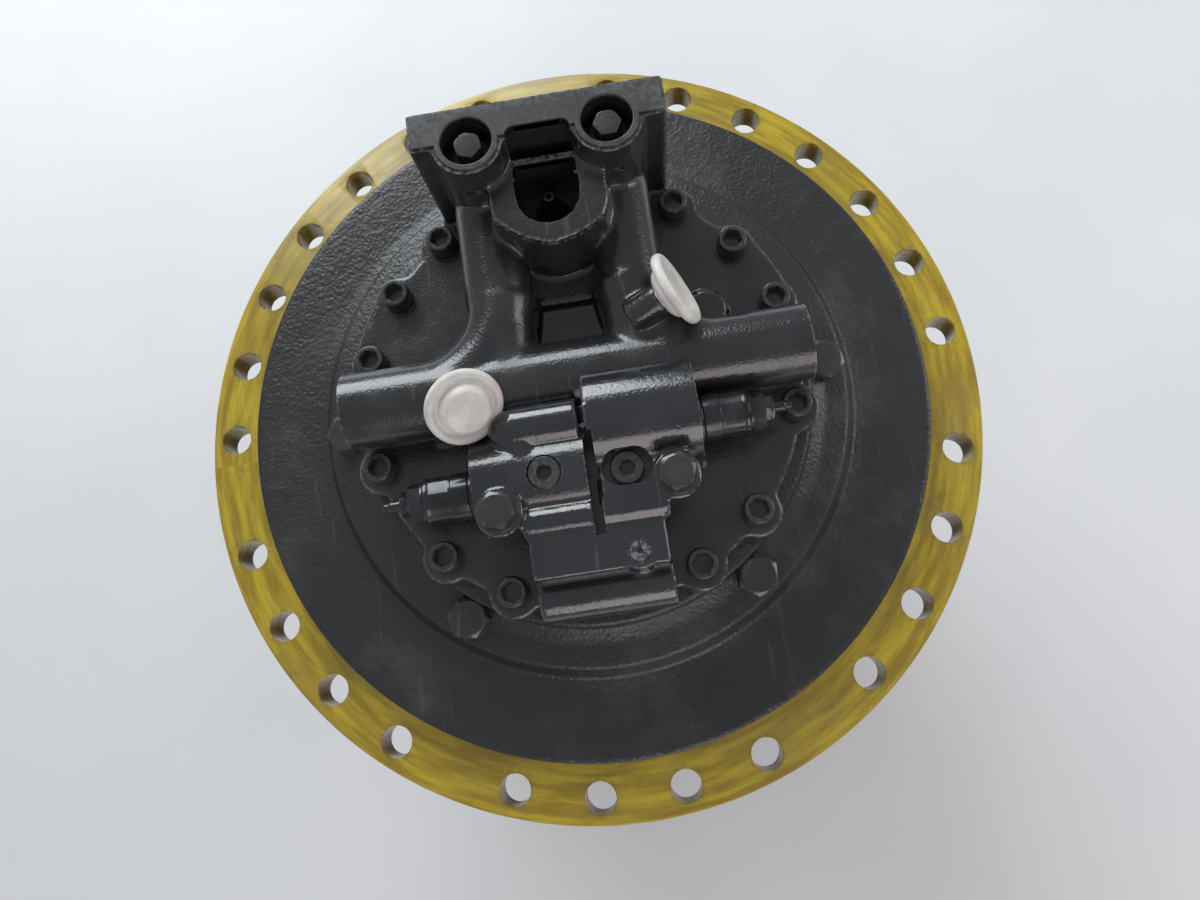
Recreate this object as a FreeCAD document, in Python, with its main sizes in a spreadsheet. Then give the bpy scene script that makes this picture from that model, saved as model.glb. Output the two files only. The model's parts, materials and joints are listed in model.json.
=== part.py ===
import FreeCAD, Part
import math
import os
import Sketcher
from FreeCAD import Vector

# Track final drive: hydraulic travel motor with a two-stage planetary gearbox, motor side up.
# Row frame: +Z is the axis of rotation and points to the motor side, +Y points to the port block.
# The origin is the centre of the mounting ring's mating face. Every piece is one spreadsheet-driven
# object, and its label is the name of its file.

doc = FreeCAD.newDocument("final_drive")
sheet = doc.addObject("Spreadsheet::Sheet", "Sizes")


class Size(float):
    """A number that also knows the spreadsheet expression that it comes from."""

    def __new__(cls, value, expression):
        made = float.__new__(cls, value)
        made.expression = expression
        return made

    def __add__(self, other):
        return joined(self, "+", other, float(self) + float(other))

    def __radd__(self, other):
        return joined(other, "+", self, float(other) + float(self))

    def __sub__(self, other):
        return joined(self, "-", other, float(self) - float(other))

    def __rsub__(self, other):
        return joined(other, "-", self, float(other) - float(self))

    def __mul__(self, other):
        return joined(self, "*", other, float(self) * float(other))

    def __rmul__(self, other):
        return joined(other, "*", self, float(other) * float(self))

    def __truediv__(self, other):
        return joined(self, "/", other, float(self) / float(other))

    def __neg__(self):
        return joined(0, "-", self, -float(self))


def expression_of(value):
    return value.expression if isinstance(value, Size) else f"({float(value):.6f})"


def joined(left, sign, right, value):
    return Size(value, f"({expression_of(left)} {sign} {expression_of(right)})")


cells = []


def cell(alias, value, note):
    """Writes one named value to the sheet and returns it as a Size."""
    row = len(cells) + 1
    sheet.set(f"A{row}", note)
    sheet.set(f"B{row}", str(value))
    sheet.setAlias(f"B{row}", alias)
    cells.append(alias)
    return Size(value, f"Sizes.{alias}")


# ---------------------------------------------------------------- driving dimensions
ring_radius = cell("ring_radius", 345, "mounting ring, outer radius")
ring_depth = cell("ring_depth", 30, "mounting ring, thickness")
ring_hole = cell("ring_hole", 13, "mounting hole radius, M24 clearance")
ring_circle = cell("ring_circle", 324, "radius of the mounting hole circle")
hole_pitch = cell("hole_pitch", 12.46, "angle between neighbouring mounting holes")
group_gap = cell("group_gap", 19.02, "angle between groups of mounting holes")
pilot_radius = cell("pilot_radius", 295, "raised centring disc of the casing")
pilot_rise = cell("pilot_rise", 24, "height of the centring disc above the ring")
table_radius = cell("table_radius", 222, "casing table round the cover")
table_top = cell("table_top", 42, "height of that table")
seat_radius = cell("seat_radius", 186, "cover seat on the casing")
seat_top = cell("seat_top", 62, "height of the cover seat")
cavity_radius = cell("cavity_radius", 112, "motor cavity in the casing")
cavity_floor = cell("cavity_floor", -106, "floor of the motor cavity")
plate_top = cell("plate_top", 88, "top of the cover's bolting plate")
screw_circle = cell("screw_circle", 171, "radius of the cover screw circle")
lug_radius = cell("lug_radius", 21, "cover lug round each screw")
arm_height = cell("arm_height", 125, "height of the spool bore through the arms")
arm_line = cell("arm_line", -4, "Y of the spool bore")
arm_reach = cell("arm_reach", 177, "end of each arm from the axis")
arm_radius = cell("arm_radius", 29.5, "outer radius of the arms")
rib_offset = cell("rib_offset", 52, "X of the two port passages")
rib_radius = cell("rib_radius", 26.5, "outer radius of the passage ribs")
port_line = cell("port_line", 163, "Y of the two main ports")
port_face = cell("port_face", 205, "height of the port face")
port_half = cell("port_half", 94, "half width of the port block")
journal_radius = cell("journal_radius", 165, "spindle seat of the main bearings")
bearing_radius = cell("bearing_radius", 208, "outer radius of the main bearings")
hub_radius = cell("hub_radius", 242, "sprocket hub, outer radius")
sprocket_radius = cell("sprocket_radius", 292, "sprocket flange, outer radius")
sprocket_pilot = cell("sprocket_pilot", 252, "centring step for the sprocket")
sprocket_circle = cell("sprocket_circle", 270, "radius of the sprocket bolt circle")
sprocket_hole = cell("sprocket_hole", 11, "sprocket bolt hole radius, M20 clearance")
gearcase_radius = cell("gearcase_radius", 238, "ring gear, outer radius")
gearcase_top = cell("gearcase_top", -232, "joint between hub and ring gear")
gearcase_base = cell("gearcase_base", -402, "joint between ring gear and gearbox cover")
gearcase_circle = cell("gearcase_circle", 223, "radius of the circle of the gearbox screws")
foot_level = cell("foot_level", -440, "outer face of the gearbox cover")
carrier_circle = cell("carrier_circle", 95, "radius of the circle of the carrier screws")
elbow_curve = cell("elbow_curve", 40, "hollow radius where a rib meets its arm")
gear_module = cell("gear_module", 5.5, "module of all gears")
ring_teeth = cell("ring_teeth", 68, "teeth of the ring gear")
first_sun_teeth = cell("first_sun_teeth", 10, "teeth of the first sun gear")
first_planet_teeth = cell("first_planet_teeth", 29, "teeth of the first planets")
second_sun_teeth = cell("second_sun_teeth", 20, "teeth of the second sun gear")
second_planet_teeth = cell("second_planet_teeth", 24, "teeth of the second planets")
doc.recompute()

parts = {}


def keep(made, label):
    """Names a finished sub-part: the label is also the name of its file."""
    made.Label = label
    parts[label] = made
    return made


def bind(made, path, value):
    """Sets a property, and ties it to the sheet when the value comes from there."""
    if isinstance(value, Size):
        made.setExpression(path, value.expression)
    elif "." not in path:
        setattr(made, path, value)


def settle(made, base, direction):
    """Places a primitive: its own Z turns to the direction, and its base point is bound."""
    turn = FreeCAD.Rotation(Vector(0, 0, 1), direction)
    made.Placement = FreeCAD.Placement(Vector(*[float(value) for value in base]), turn)
    for axis, value in zip("xyz", base):
        bind(made, f"Placement.Base.{axis}", value)


UP = Vector(0, 0, 1)
DOWN = Vector(0, 0, -1)
RIGHT = Vector(1, 0, 0)
LEFT = Vector(-1, 0, 0)
FORTH = Vector(0, 1, 0)


def rod(name, radius, height, base=(0, 0, 0), direction=UP):
    made = doc.addObject("Part::Cylinder", name)
    made.Radius = float(radius)
    made.Height = float(height)
    bind(made, "Radius", radius)
    bind(made, "Height", height)
    settle(made, base, direction)
    return made


def taper(name, radius, end_radius, height, base=(0, 0, 0), direction=UP):
    made = doc.addObject("Part::Cone", name)
    made.Radius1 = float(radius)
    made.Radius2 = float(end_radius)
    made.Height = float(height)
    bind(made, "Radius1", radius)
    bind(made, "Radius2", end_radius)
    bind(made, "Height", height)
    settle(made, base, direction)
    return made


def block(name, low, high):
    """A box between two corners."""
    made = doc.addObject("Part::Box", name)
    for side, axis, first, last in zip(("Length", "Width", "Height"), "xyz", low, high):
        setattr(made, side, float(last) - float(first))
        bind(made, side, last - first)
    made.Placement.Base = Vector(*[float(value) for value in low])
    for axis, value in zip("xyz", low):
        bind(made, f"Placement.Base.{axis}", value)
    return made


def wedge(name, radius, height, level, start, sweep):
    """A pie-shaped plate about Z between two angles."""
    made = rod(name, radius, height, (0, 0, level))
    made.Angle = sweep
    made.Placement.Rotation = FreeCAD.Rotation(UP, start)
    return made


def bend(name, centre, curve, radius, start):
    """A quarter turn of round pipe about an upright axis."""
    made = doc.addObject("Part::Torus", name)
    made.Radius1 = float(curve)
    made.Radius2 = float(radius)
    bind(made, "Radius1", curve)
    bind(made, "Radius2", radius)
    made.Angle3 = 90
    settle(made, centre, UP)
    made.Placement.Rotation = FreeCAD.Rotation(UP, start)
    return made


def fused(name, pieces):
    made = doc.addObject("Part::MultiFuse", name)
    made.Shapes = pieces
    made.Refine = True
    return made


def cut(name, base, tool):
    made = doc.addObject("Part::Cut", name)
    made.Base = base
    made.Tool = tool
    made.Refine = True
    return made


# ---------------------------------------------------------------- turned bodies
def plane_of(body, role):
    return next(item for item in body.Origin.OriginFeatures if item.Role == role)


def new_sketch(body, name, role):
    sketch = body.newObject("Sketcher::SketchObject", name)
    sketch.AttachmentSupport = (plane_of(body, role), [""])
    sketch.MapMode = "FlatFace"
    return sketch


def dimension(sketch, kind, geometry, point, value):
    """Holds one point of a sketch at a distance from the sketch's origin."""
    index = sketch.addConstraint(
        Sketcher.Constraint(kind, -1, 1, geometry, point, float(value))
    )
    if isinstance(value, Size):
        sketch.setExpression(f"Constraints[{index}]", value.expression)


def outline(body, name, role, points):
    """A closed outline of straight lines, each corner held by two dimensions."""
    sketch = new_sketch(body, name, role)
    corners = [Vector(float(across), float(along), 0) for across, along in points]
    count = len(corners)
    for number, corner in enumerate(corners):
        line = Part.LineSegment(corner, corners[(number + 1) % count])
        sketch.addGeometry(line, False)
    for number in range(count):
        following = (number + 1) % count
        sketch.addConstraint(Sketcher.Constraint("Coincident", number, 2, following, 1))
    for number, (across, along) in enumerate(points):
        dimension(sketch, "DistanceX", number, 1, across)
        dimension(sketch, "DistanceY", number, 1, along)
    return sketch


def turned(label, points):
    """A body of revolution about Z from points of (radius, height)."""
    body = doc.addObject("PartDesign::Body", label + "_body")
    sketch = outline(body, label + "_profile", "XZ_Plane", points)
    revolution = body.newObject("PartDesign::Revolution", label + "_turn")
    revolution.Profile = sketch
    revolution.ReferenceAxis = (sketch, ["V_Axis"])
    revolution.Angle = 360
    sketch.Visibility = False
    body.Tip = revolution
    return keep(body, label)


def ring(label, inner, outer, low, high):
    """A plain turned ring."""
    return turned(label, [(inner, low), (outer, low), (outer, high), (inner, high)])


def padded(name, points, level, height):
    """A plate with upright sides over a straight-sided outline."""
    body = doc.addObject("PartDesign::Body", name)
    sketch = outline(body, name + "_outline", "XY_Plane", points)
    sketch.AttachmentOffset = FreeCAD.Placement(Vector(0, 0, float(level)), FreeCAD.Rotation())
    bind(sketch, "AttachmentOffset.Base.z", level)
    pad = body.newObject("PartDesign::Pad", name + "_pad")
    pad.Profile = sketch
    pad.Length = float(height)
    bind(pad, "Length", height)
    sketch.Visibility = False
    body.Tip = pad
    return body


def drill(body, name, places, radius, level=0, depth=None, upward=False):
    """Cuts round holes along Z as one pocket: right through, or to a depth from a level."""
    sketch = new_sketch(body, name + "_sketch", "XY_Plane")
    sketch.AttachmentOffset = FreeCAD.Placement(Vector(0, 0, float(level)), FreeCAD.Rotation())
    bind(sketch, "AttachmentOffset.Base.z", level)
    for number, (across, along) in enumerate(places):
        centre = Vector(float(across), float(along), 0)
        sketch.addGeometry(Part.Circle(centre, UP, float(radius)), False)
        dimension(sketch, "DistanceX", number, 3, across)
        dimension(sketch, "DistanceY", number, 3, along)
        index = sketch.addConstraint(Sketcher.Constraint("Radius", number, float(radius)))
        if isinstance(radius, Size):
            sketch.setExpression(f"Constraints[{index}]", radius.expression)
    pocket = body.newObject("PartDesign::Pocket", name)
    pocket.Profile = sketch
    if depth is None:
        pocket.Type = 1
        pocket.Midplane = True
    else:
        pocket.Type = 0
        pocket.Length = depth
        pocket.Reversed = upward
    body.Tip = pocket
    doc.recompute()
    return pocket


def drill_circle(body, name, count, circle, radius, level=0, depth=None, start=0):
    """Cuts equal holes, evenly spaced on a circle: the first as a pocket, the rest as its pattern."""
    turn = f"{start} deg"
    place = polar(circle, start)
    across = Size(place.x, f"{expression_of(circle)} * cos({turn})")
    along = Size(place.y, f"{expression_of(circle)} * sin({turn})")
    pocket = drill(body, name, [(across, along)], radius, level, depth, upward=True)
    pattern = body.newObject("PartDesign::PolarPattern", name + "_pattern")
    pattern.Originals = [pocket]
    pattern.Axis = (pocket.Profile[0], ["N_Axis"])
    pattern.Angle = 360
    pattern.Occurrences = count
    body.Tip = pattern
    doc.recompute()


def polar(radius, angle):
    """The point at a radius and at an angle in degrees from +X."""
    turn = math.radians(angle)
    return Vector(float(radius) * math.cos(turn), float(radius) * math.sin(turn), 0)


def group(label, shapes):
    """Several separate solids in one node."""
    made = doc.addObject("Part::Feature", label + "_group")
    made.Shape = shapes[0] if len(shapes) == 1 else Part.makeCompound(shapes)
    return keep(made, label)


def placed(shape, base, direction=UP, spin=0):
    """A copy of a shape, its own Z turned to the direction, at a point."""
    copy = shape.copy()
    turn = FreeCAD.Rotation(UP, direction).multiply(FreeCAD.Rotation(UP, spin))
    copy.Placement = FreeCAD.Placement(Vector(base), turn)
    return copy


def lathe(points):
    """A solid of revolution about Z, straight from points of (radius, height)."""
    corners = [Vector(float(radius), 0, float(height)) for radius, height in points]
    wire = Part.makePolygon(corners + corners[:1])
    return Part.Face(wire).revolve(Vector(), UP, 360)


def hex_bar(across_flats, height):
    corner = float(across_flats) / math.sqrt(3)
    corners = [polar(corner, 60 * number) for number in range(6)]
    return Part.Face(Part.makePolygon(corners + corners[:1])).extrude(UP * float(height))


# ---------------------------------------------------------------- shared places
screw_angles = (55, 35, 15, -15, -45, -65)
screw_places = [polar(screw_circle, angle) for angle in screw_angles]
screw_places += [polar(screw_circle, 180 - angle) for angle in screw_angles]
screw_places += [polar(screw_circle, 90)]
bolt_places = [polar(204, angle) for angle in (0, 180, -55, -125)]
valve_bolt_places = [(-66, -103), (62, -95)]
oil_places = [(place.x, place.y) for place in (polar(120, angle) for angle in (90, 210, 330))]
relief_lines = {1: -52, -1: -83}
relief_height = 132
lug_hole_height = 40
drain_boss_top = 175
drain_boss_corners = [
    (-41, 150),
    (-41, 113),
    (-22, 97),
    (-1, 88),
    (18, 93),
    (37, 102),
    (42, 115),
    (42, 150),
]
valve_end = 84
cap_seats = {
    "port_cap_left": (Vector(-82.2, -22.6, 163), Vector(0.35, -0.62, 0.7)),
    "port_cap_right": (Vector(72.8, 36, 160.8), Vector(0.877, 0.287, 0.381)),
}


# ---------------------------------------------------------------- motor casing
def ring_hole_angles():
    """Angles of the mounting holes from +Y on the right side: groups of two, four and seven."""
    pitch = float(hole_pitch)
    angles = [180 - pitch / 2, 180 - 1.5 * pitch]
    for count in (4, 7):
        start = angles[-1] - float(group_gap)
        angles += [start - number * pitch for number in range(count)]
    return angles


def make_casing():
    seal_wall = 216
    body = turned(
        "motor_casing",
        [
            (cavity_radius, seat_top),
            (seat_radius, seat_top),
            (seat_radius, table_top),
            (table_radius, table_top),
            (table_radius + 8, pilot_rise),
            (pilot_radius, pilot_rise),
            (pilot_radius, 0),
            (ring_radius, 0),
            (ring_radius, -ring_depth),
            (262, -ring_depth),
            (240, -44),
            (240, -60),
            (seal_wall, -60),
            (seal_wall, -46),
            (186, -46),
            (186, -66),
            (176, -70),
            (176, -88),
            (journal_radius, -88),
            (journal_radius, -188),
            (157, -188),
            (157, -206),
            (36, -206),
            (36, -134),
            (55, -134),
            (55, cavity_floor),
            (cavity_radius, cavity_floor),
        ],
    )
    places = []
    for side in (1, -1):
        for angle in ring_hole_angles():
            centre = polar(ring_circle, 90 - side * angle)
            across = f"{side} * {ring_circle.expression} * sin({angle:.3f} deg)"
            along = f"{ring_circle.expression} * cos({angle:.3f} deg)"
            places.append((Size(centre.x, across), Size(centre.y, along)))
    drill(body, "ring_holes", places, ring_hole)
    drill(body, "cover_threads", [(p.x, p.y) for p in screw_places], 8, seat_top, 19)
    drill(body, "bolt_threads", [(p.x, p.y) for p in bolt_places], 10, table_top, 35)
    drill_circle(body, "carrier_threads", 8, carrier_circle, 8, -206, 30, 22.5)


# ---------------------------------------------------------------- motor cover
def cover_forms():
    """The raised forms of the cover casting, before its bores are cut."""
    lift = plate_top - seat_top
    forms = [
        rod("cover_plate", 176, lift, (0, 0, seat_top)),
        rod("cover_spigot", cavity_radius - 0.2, 6, (0, 0, seat_top - 6)),
    ]
    for number, place in enumerate(screw_places):
        forms.append(rod(f"cover_lug_{number}", lug_radius, lift, (place.x, place.y, seat_top)))
    for word, start, sweep in (("left", 145, 20), ("right", 15, 20)):
        forms.append(wedge(f"plate_{word}", seat_radius + 2, lift, seat_top, start, sweep))
    arm_start = (-arm_reach, arm_line, arm_height)
    forms.append(rod("arm_tube", arm_radius, arm_reach * 2, arm_start, RIGHT))
    web_low = (-arm_reach + 25, arm_line - 17, plate_top - 2)
    web_high = (arm_reach - 25, arm_line + 17, arm_height)
    forms.append(block("arm_web", web_low, web_high))
    for side, word in ((1, "right"), (-1, "left")):
        across = rib_offset * side
        rib_start = (across, arm_line, arm_height)
        forms.append(rod(f"rib_tube_{word}", rib_radius, port_line - arm_line, rib_start, FORTH))
        web_low = (across - 22, arm_line, plate_top - 2)
        forms.append(block(f"rib_web_{word}", web_low, (across + 22, port_line, arm_height)))
        boss_base = (across, port_line, plate_top)
        forms.append(rod(f"port_boss_{word}", 25, port_face - plate_top, boss_base))
        forms += elbow(side, word)
    wall_low = (-port_half, port_line - 1, plate_top - 10)
    forms.append(block("port_block", wall_low, (port_half, port_line + 28, port_face)))
    forms.append(block("core", (-32, arm_line - 8, plate_top - 2), (32, port_line - 4, 102)))
    forms.append(block("pad", (-32, arm_line, plate_top), (32, 27, 119)))
    forms.append(taper("drain_boss_flare", 46, 36, 62, (0, 132, 104)))
    forms.append(padded("drain_boss", drain_boss_corners, 158, drain_boss_top - 158))
    forms.append(rod("gauge_boss", 17, 8, (110, 45, plate_top)))
    for label, (seat, outward) in cap_seats.items():
        forms.append(rod(f"{label}_boss", 17, 28, seat - unit(outward) * 28, outward))
    return fused("cover_casting", forms)


def unit(direction):
    return direction / direction.Length


def elbow(side, word):
    """The hollow corner where a passage rib bends into its arm: a pipe bend on a web."""
    corner = rib_offset + rib_radius + elbow_curve
    corner_line = arm_line + arm_radius + elbow_curve
    inner = rib_offset * side
    outer = corner * side
    low, high = sorted((inner, outer))
    base = (low, arm_line, plate_top - 2)
    web = block(f"elbow_block_{word}", base, (high, corner_line, arm_height))
    hollow_base = (outer, corner_line, plate_top - 3)
    hollow = rod(f"elbow_hollow_{word}", elbow_curve, 50, hollow_base)
    curve = elbow_curve + (rib_radius + arm_radius) / 2
    centre = (outer, corner_line, arm_height)
    pipe = bend(f"elbow_bend_{word}", centre, curve, rib_radius, 180 if side > 0 else 270)
    return [cut(f"elbow_{word}", web, hollow), pipe]


def make_cover():
    """The motor cover with its passages; gives the uncut casting for the valve body's seat."""
    casting = cover_forms()
    bore_start = (-arm_reach - 1, arm_line, arm_height)
    tools = [rod("spool_bore", 16, arm_reach * 2 + 2, bore_start, RIGHT)]
    for side, word in ((1, "right"), (-1, "left")):
        across = rib_offset * side
        tools.append(rod(f"port_mouth_{word}", 19, 31, (across, port_line, port_face - 30)))
        tools.append(rod(f"port_way_{word}", 12, 60, (across, port_line, arm_height)))
        rib_start = (across, arm_line, arm_height)
        tools.append(rod(f"rib_way_{word}", 12, port_line - arm_line, rib_start, FORTH))
        end = (side * arm_reach, arm_line, arm_height)
        tools.append(rod(f"arm_counterbore_{word}", 20, 22, end, RIGHT * -side))
    pocket_high = (22, port_line + 11, port_face + 1)
    tools.append(block("port_pocket", (-22, port_line - 14, 120), pocket_high))
    tools.append(rod("port_screw_pocket", 13, 34, (0, screw_circle, plate_top)))
    tools.append(rod("drain_mouth", 25, 60, (0, 132, 118)))
    tools.append(block("drain_notch", (-25, 132, 118), (25, 150, 180)))
    tools.append(rod("rear_bearing_seat", 26, 22, (0, 0, seat_top - 7)))
    tools.append(rod("gauge_seat", 13, 11, (110, 45, plate_top - 2)))
    for number, place in enumerate(screw_places):
        base = (place.x, place.y, seat_top - 1)
        tools.append(rod(f"screw_hole_{number}", 8.5, lug_hole_height, base))
    for number, (across, along) in enumerate(valve_bolt_places):
        tools.append(rod(f"valve_thread_{number}", 8.1, 23, (across, along, plate_top - 21)))
    for label, (seat, outward) in cap_seats.items():
        tools.append(rod(f"{label}_bore", 11.7, 19, seat - unit(outward) * 17, outward))
    keep(cut("cover_cut", casting, fused("cover_tools", tools)), "motor_cover")
    return casting


def make_screw(shank, length, head, head_height, socket):
    """A socket head cap screw: the head sits on Z 0, and the shank points down."""
    body = lathe(
        [
            (0, -length),
            (shank, -length),
            (shank, 0),
            (head, 0),
            (head, head_height - 1),
            (head - 1, head_height),
            (0, head_height),
        ]
    )
    pocket = hex_bar(socket, head_height)
    pocket.translate(Vector(0, 0, head_height * 0.45))
    return body.cut(pocket)


def make_hex_bolt(shank, length, flats, head_height):
    """A hexagon head bolt with a chamfered round top."""
    crown = lathe(
        [
            (0, 0),
            (flats * 0.6, 0),
            (flats * 0.6, head_height - flats * 0.1),
            (flats * 0.46, head_height),
            (0, head_height),
        ]
    )
    head = hex_bar(flats, head_height).common(crown)
    stem = Part.makeCylinder(shank, length, Vector(0, 0, -length))
    return head.fuse(stem).removeSplitter()


def make_valve(casting):
    """The counterbalance valve body: rolled forms over the flat plate, cut to sit on the cover."""
    floor = plate_top
    solids = [
        rod("valve_roll_right", 38, 82, (2, -45, 138), RIGHT),
        block("valve_base_right", (2, -83, floor), (84, -7, 138)),
        rod("valve_roll_left", 22, 56, (-54, -42, 138), RIGHT),
        block("valve_base_left", (-84, -112, floor), (2, -38, 136)),
        rod("valve_left_crown", 37, 86, (-84, -75, 122), RIGHT),
        block("valve_middle", (2, -112, floor), (50, -80, 158)),
        rod("valve_fold", 12, 104, (-54, -110, 146), RIGHT),
        block("valve_lower", (-48, -152, floor), (48, -100, 152)),
        rod("valve_foot_roll", 19, 100, (-50, -164, 105), RIGHT),
        block("valve_foot", (-50, -178, floor), (50, -150, 104)),
    ]
    tools = [
        casting,
        block("valve_groove", (-1, -126, 122), (7, -54, 190)),
        rod("relief_bore_right", 10, 40, (valve_end, relief_lines[1], relief_height), LEFT),
        rod("relief_bore_left", 10, 40, (-valve_end, relief_lines[-1], relief_height), RIGHT),
        rod("left_plug_seat", 13, 12, (-31, -79, 150)),
        rod("right_plug_seat", 13, 14, (28, -84, 148)),
        rod("orifice_seat", 8, 6, (28, -143, 147)),
    ]
    for number, (across, along) in enumerate(valve_bolt_places):
        solids.append(rod(f"valve_boss_{number}", 17, 72, (across, along, floor)))
        tools.append(rod(f"valve_bolt_hole_{number}", 8.5, 80, (across, along, floor - 1)))
    made = cut("valve_cut", fused("valve_forms", solids), fused("valve_tools", tools))
    return keep(made, "counterbalance_valve_body")


def make_relief(label, side):
    """A relief valve cartridge that screws into one end of the valve body."""
    seat = (valve_end * side, relief_lines[side], relief_height)
    sleeve = lathe(
        [
            (0, -38),
            (9.9, -38),
            (9.9, 0),
            (18.5, 0),
            (18.5, 5),
            (17, 6),
            (17, 36),
            (15, 38),
            (0, 38),
        ]
    )
    nut = hex_bar(26, 50).common(Part.makeCylinder(14.2, 50))
    body = sleeve.fuse(nut).removeSplitter()
    body = body.cut(Part.makeCylinder(4, 40, Vector(0, 0, 20)))
    group(label, [placed(body, seat, RIGHT * side)])


def hardware():
    """Screws, nuts, plugs and caps, each kind in one node."""
    top = float(plate_top)
    screw = make_screw(8, 44, 12, 16, 14)
    group("cover_screws", [placed(screw, (p.x, p.y, top)) for p in screw_places])
    bolt = make_hex_bolt(10, 34, 30, 13)
    group("casing_bolts", [placed(bolt, (p.x, p.y, table_top)) for p in bolt_places])
    plug = lathe([(0, -26), (11.5, -26), (11.5, 0), (16, 0), (16, 4), (0, 4)])
    plug = plug.fuse(make_hex_bolt(5, 1, 19, 24)).removeSplitter()
    level = float(port_face) - 30
    ports = [placed(plug, (side * 52, 163, level)) for side in (1, -1)]
    group("main_port_plugs", ports)
    nipple = lathe(
        [
            (0, 0),
            (15, 0),
            (15, 8),
            (11, 10),
            (9, 22),
            (4.5, 27),
            (4, 34),
            (5, 37),
            (4, 41),
            (0, 42),
        ]
    )
    group("drain_fitting", [placed(nipple, (0, 132, 118))])
    tall_bolt = make_hex_bolt(8, 92, 24, 15)
    bolts = [placed(tall_bolt, (across, along, 160)) for across, along in valve_bolt_places]
    group("valve_bolts", bolts)
    small = lathe([(0, -10), (12.9, -10), (12.9, 0), (0, 0)])
    recess = hex_bar(10, 8)
    recess.translate(Vector(0, 0, -7))
    small = small.cut(recess)
    plugs = [
        placed(small, (-31, -79, 160)),
        placed(small, (28, -84, 158)),
        placed(small, (110, 45, top + 8)),
    ]
    group("socket_plugs", plugs)
    pin = lathe([(0, 0), (7.9, 0), (7.9, 4), (7, 5.4), (0, 5.4)])
    pin = pin.cut(Part.makeCylinder(2, 6, Vector(0, 0, 2)))
    group("orifice_plug", [placed(pin, (28, -143, 147))])
    nuts = []
    adjusters = []
    for side, line in relief_lines.items():
        seat = (side * 134, line, relief_height)
        nut = hex_bar(17, 7).cut(Part.makeCylinder(4.1, 7))
        nuts.append(placed(nut, seat, RIGHT * side))
        stem = lathe([(0, -24), (4, -24), (4, 20), (3, 21), (0, 21)])
        adjusters.append(placed(stem, seat, RIGHT * side))
    group("relief_locknuts", nuts)
    group("relief_adjusters", adjusters)


def make_caps():
    """Plastic port caps: a stem in the bore, a wide rim and a round closed cup beside the rim."""
    cup_outward = [
        (0, -16), (10.5, -16), (11.5, 0), (28, 0), (29.5, 1.5), (29.5, 3), (28, 4.5),
        (20, 4.5), (19, 13), (17, 15.5), (0, 15.5),
    ]
    cup_inward = [
        (0, -16), (10.5, -16), (11.5, 0), (17, 0), (20, 11), (28, 11), (29.5, 12.5),
        (29.5, 14), (28, 15.5), (18, 15.5), (16, 9), (0, 9),
    ]
    profiles = {"port_cap_left": cup_outward, "port_cap_right": cup_inward}
    for label, (seat, outward) in cap_seats.items():
        group(label, [placed(lathe(profiles[label]), seat, outward)])


# ---------------------------------------------------------------- gears
def involute(angle):
    return math.tan(angle) - angle


def tooth_wire(teeth, first_radius, last_radius, thinning, phase):
    """Outline of a toothed wheel: each flank runs over three radii on its involute."""
    size = float(gear_module)
    pitch_radius = size * teeth / 2
    pressure = math.radians(20)
    base_radius = pitch_radius * math.cos(pressure)
    half_tooth = math.pi / (2 * teeth) + thinning / (2 * pitch_radius)
    radii = [first_radius, (first_radius + last_radius) / 2, last_radius]
    corners = []
    for number in range(teeth):
        middle = phase + 2 * math.pi * number / teeth
        flank = []
        for radius in radii:
            slope = math.acos(min(1.0, base_radius / radius))
            flank.append((radius, half_tooth + involute(pressure) - involute(slope)))
        for radius, half in flank:
            corners.append(polar(radius, math.degrees(middle - half)))
        for radius, half in reversed(flank):
            corners.append(polar(radius, math.degrees(middle + half)))
    return Part.makePolygon(corners + corners[:1])


backlash = 0.3
addendum = 0.9 * float(gear_module)
dedendum = 1.2 * float(gear_module)


def spur_gear(teeth, phase, low, high, bore):
    """An external gear between two heights, with a bore when that is not zero."""
    pitch_radius = float(gear_module) * teeth / 2
    wire = tooth_wire(teeth, pitch_radius - dedendum, pitch_radius + addendum, -backlash, phase)
    gear = Part.Face(wire).extrude(UP * (high - low))
    if bore:
        gear = gear.cut(Part.makeCylinder(bore, high - low))
    gear.translate(Vector(0, 0, low))
    return gear


def planet_phase(sun, planet, sun_phase, place):
    """Angle of a planet's tooth that puts it in mesh with the sun at the planet's place."""
    return place + math.pi + (math.pi - sun * (sun_phase - place)) / planet


def make_planets(letters, level, sun, planet, sun_phase, low, high, bore):
    distance = float(gear_module) * (sun + planet) / 2
    for number, letter in enumerate(letters):
        angle = 2 * math.pi * number / len(letters)
        phase = planet_phase(sun, planet, sun_phase, angle)
        gear = spur_gear(planet, phase, low, high, bore)
        gear.translate(polar(distance, math.degrees(angle)))
        group(f"planet_{level}{letter}", [gear])


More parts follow.
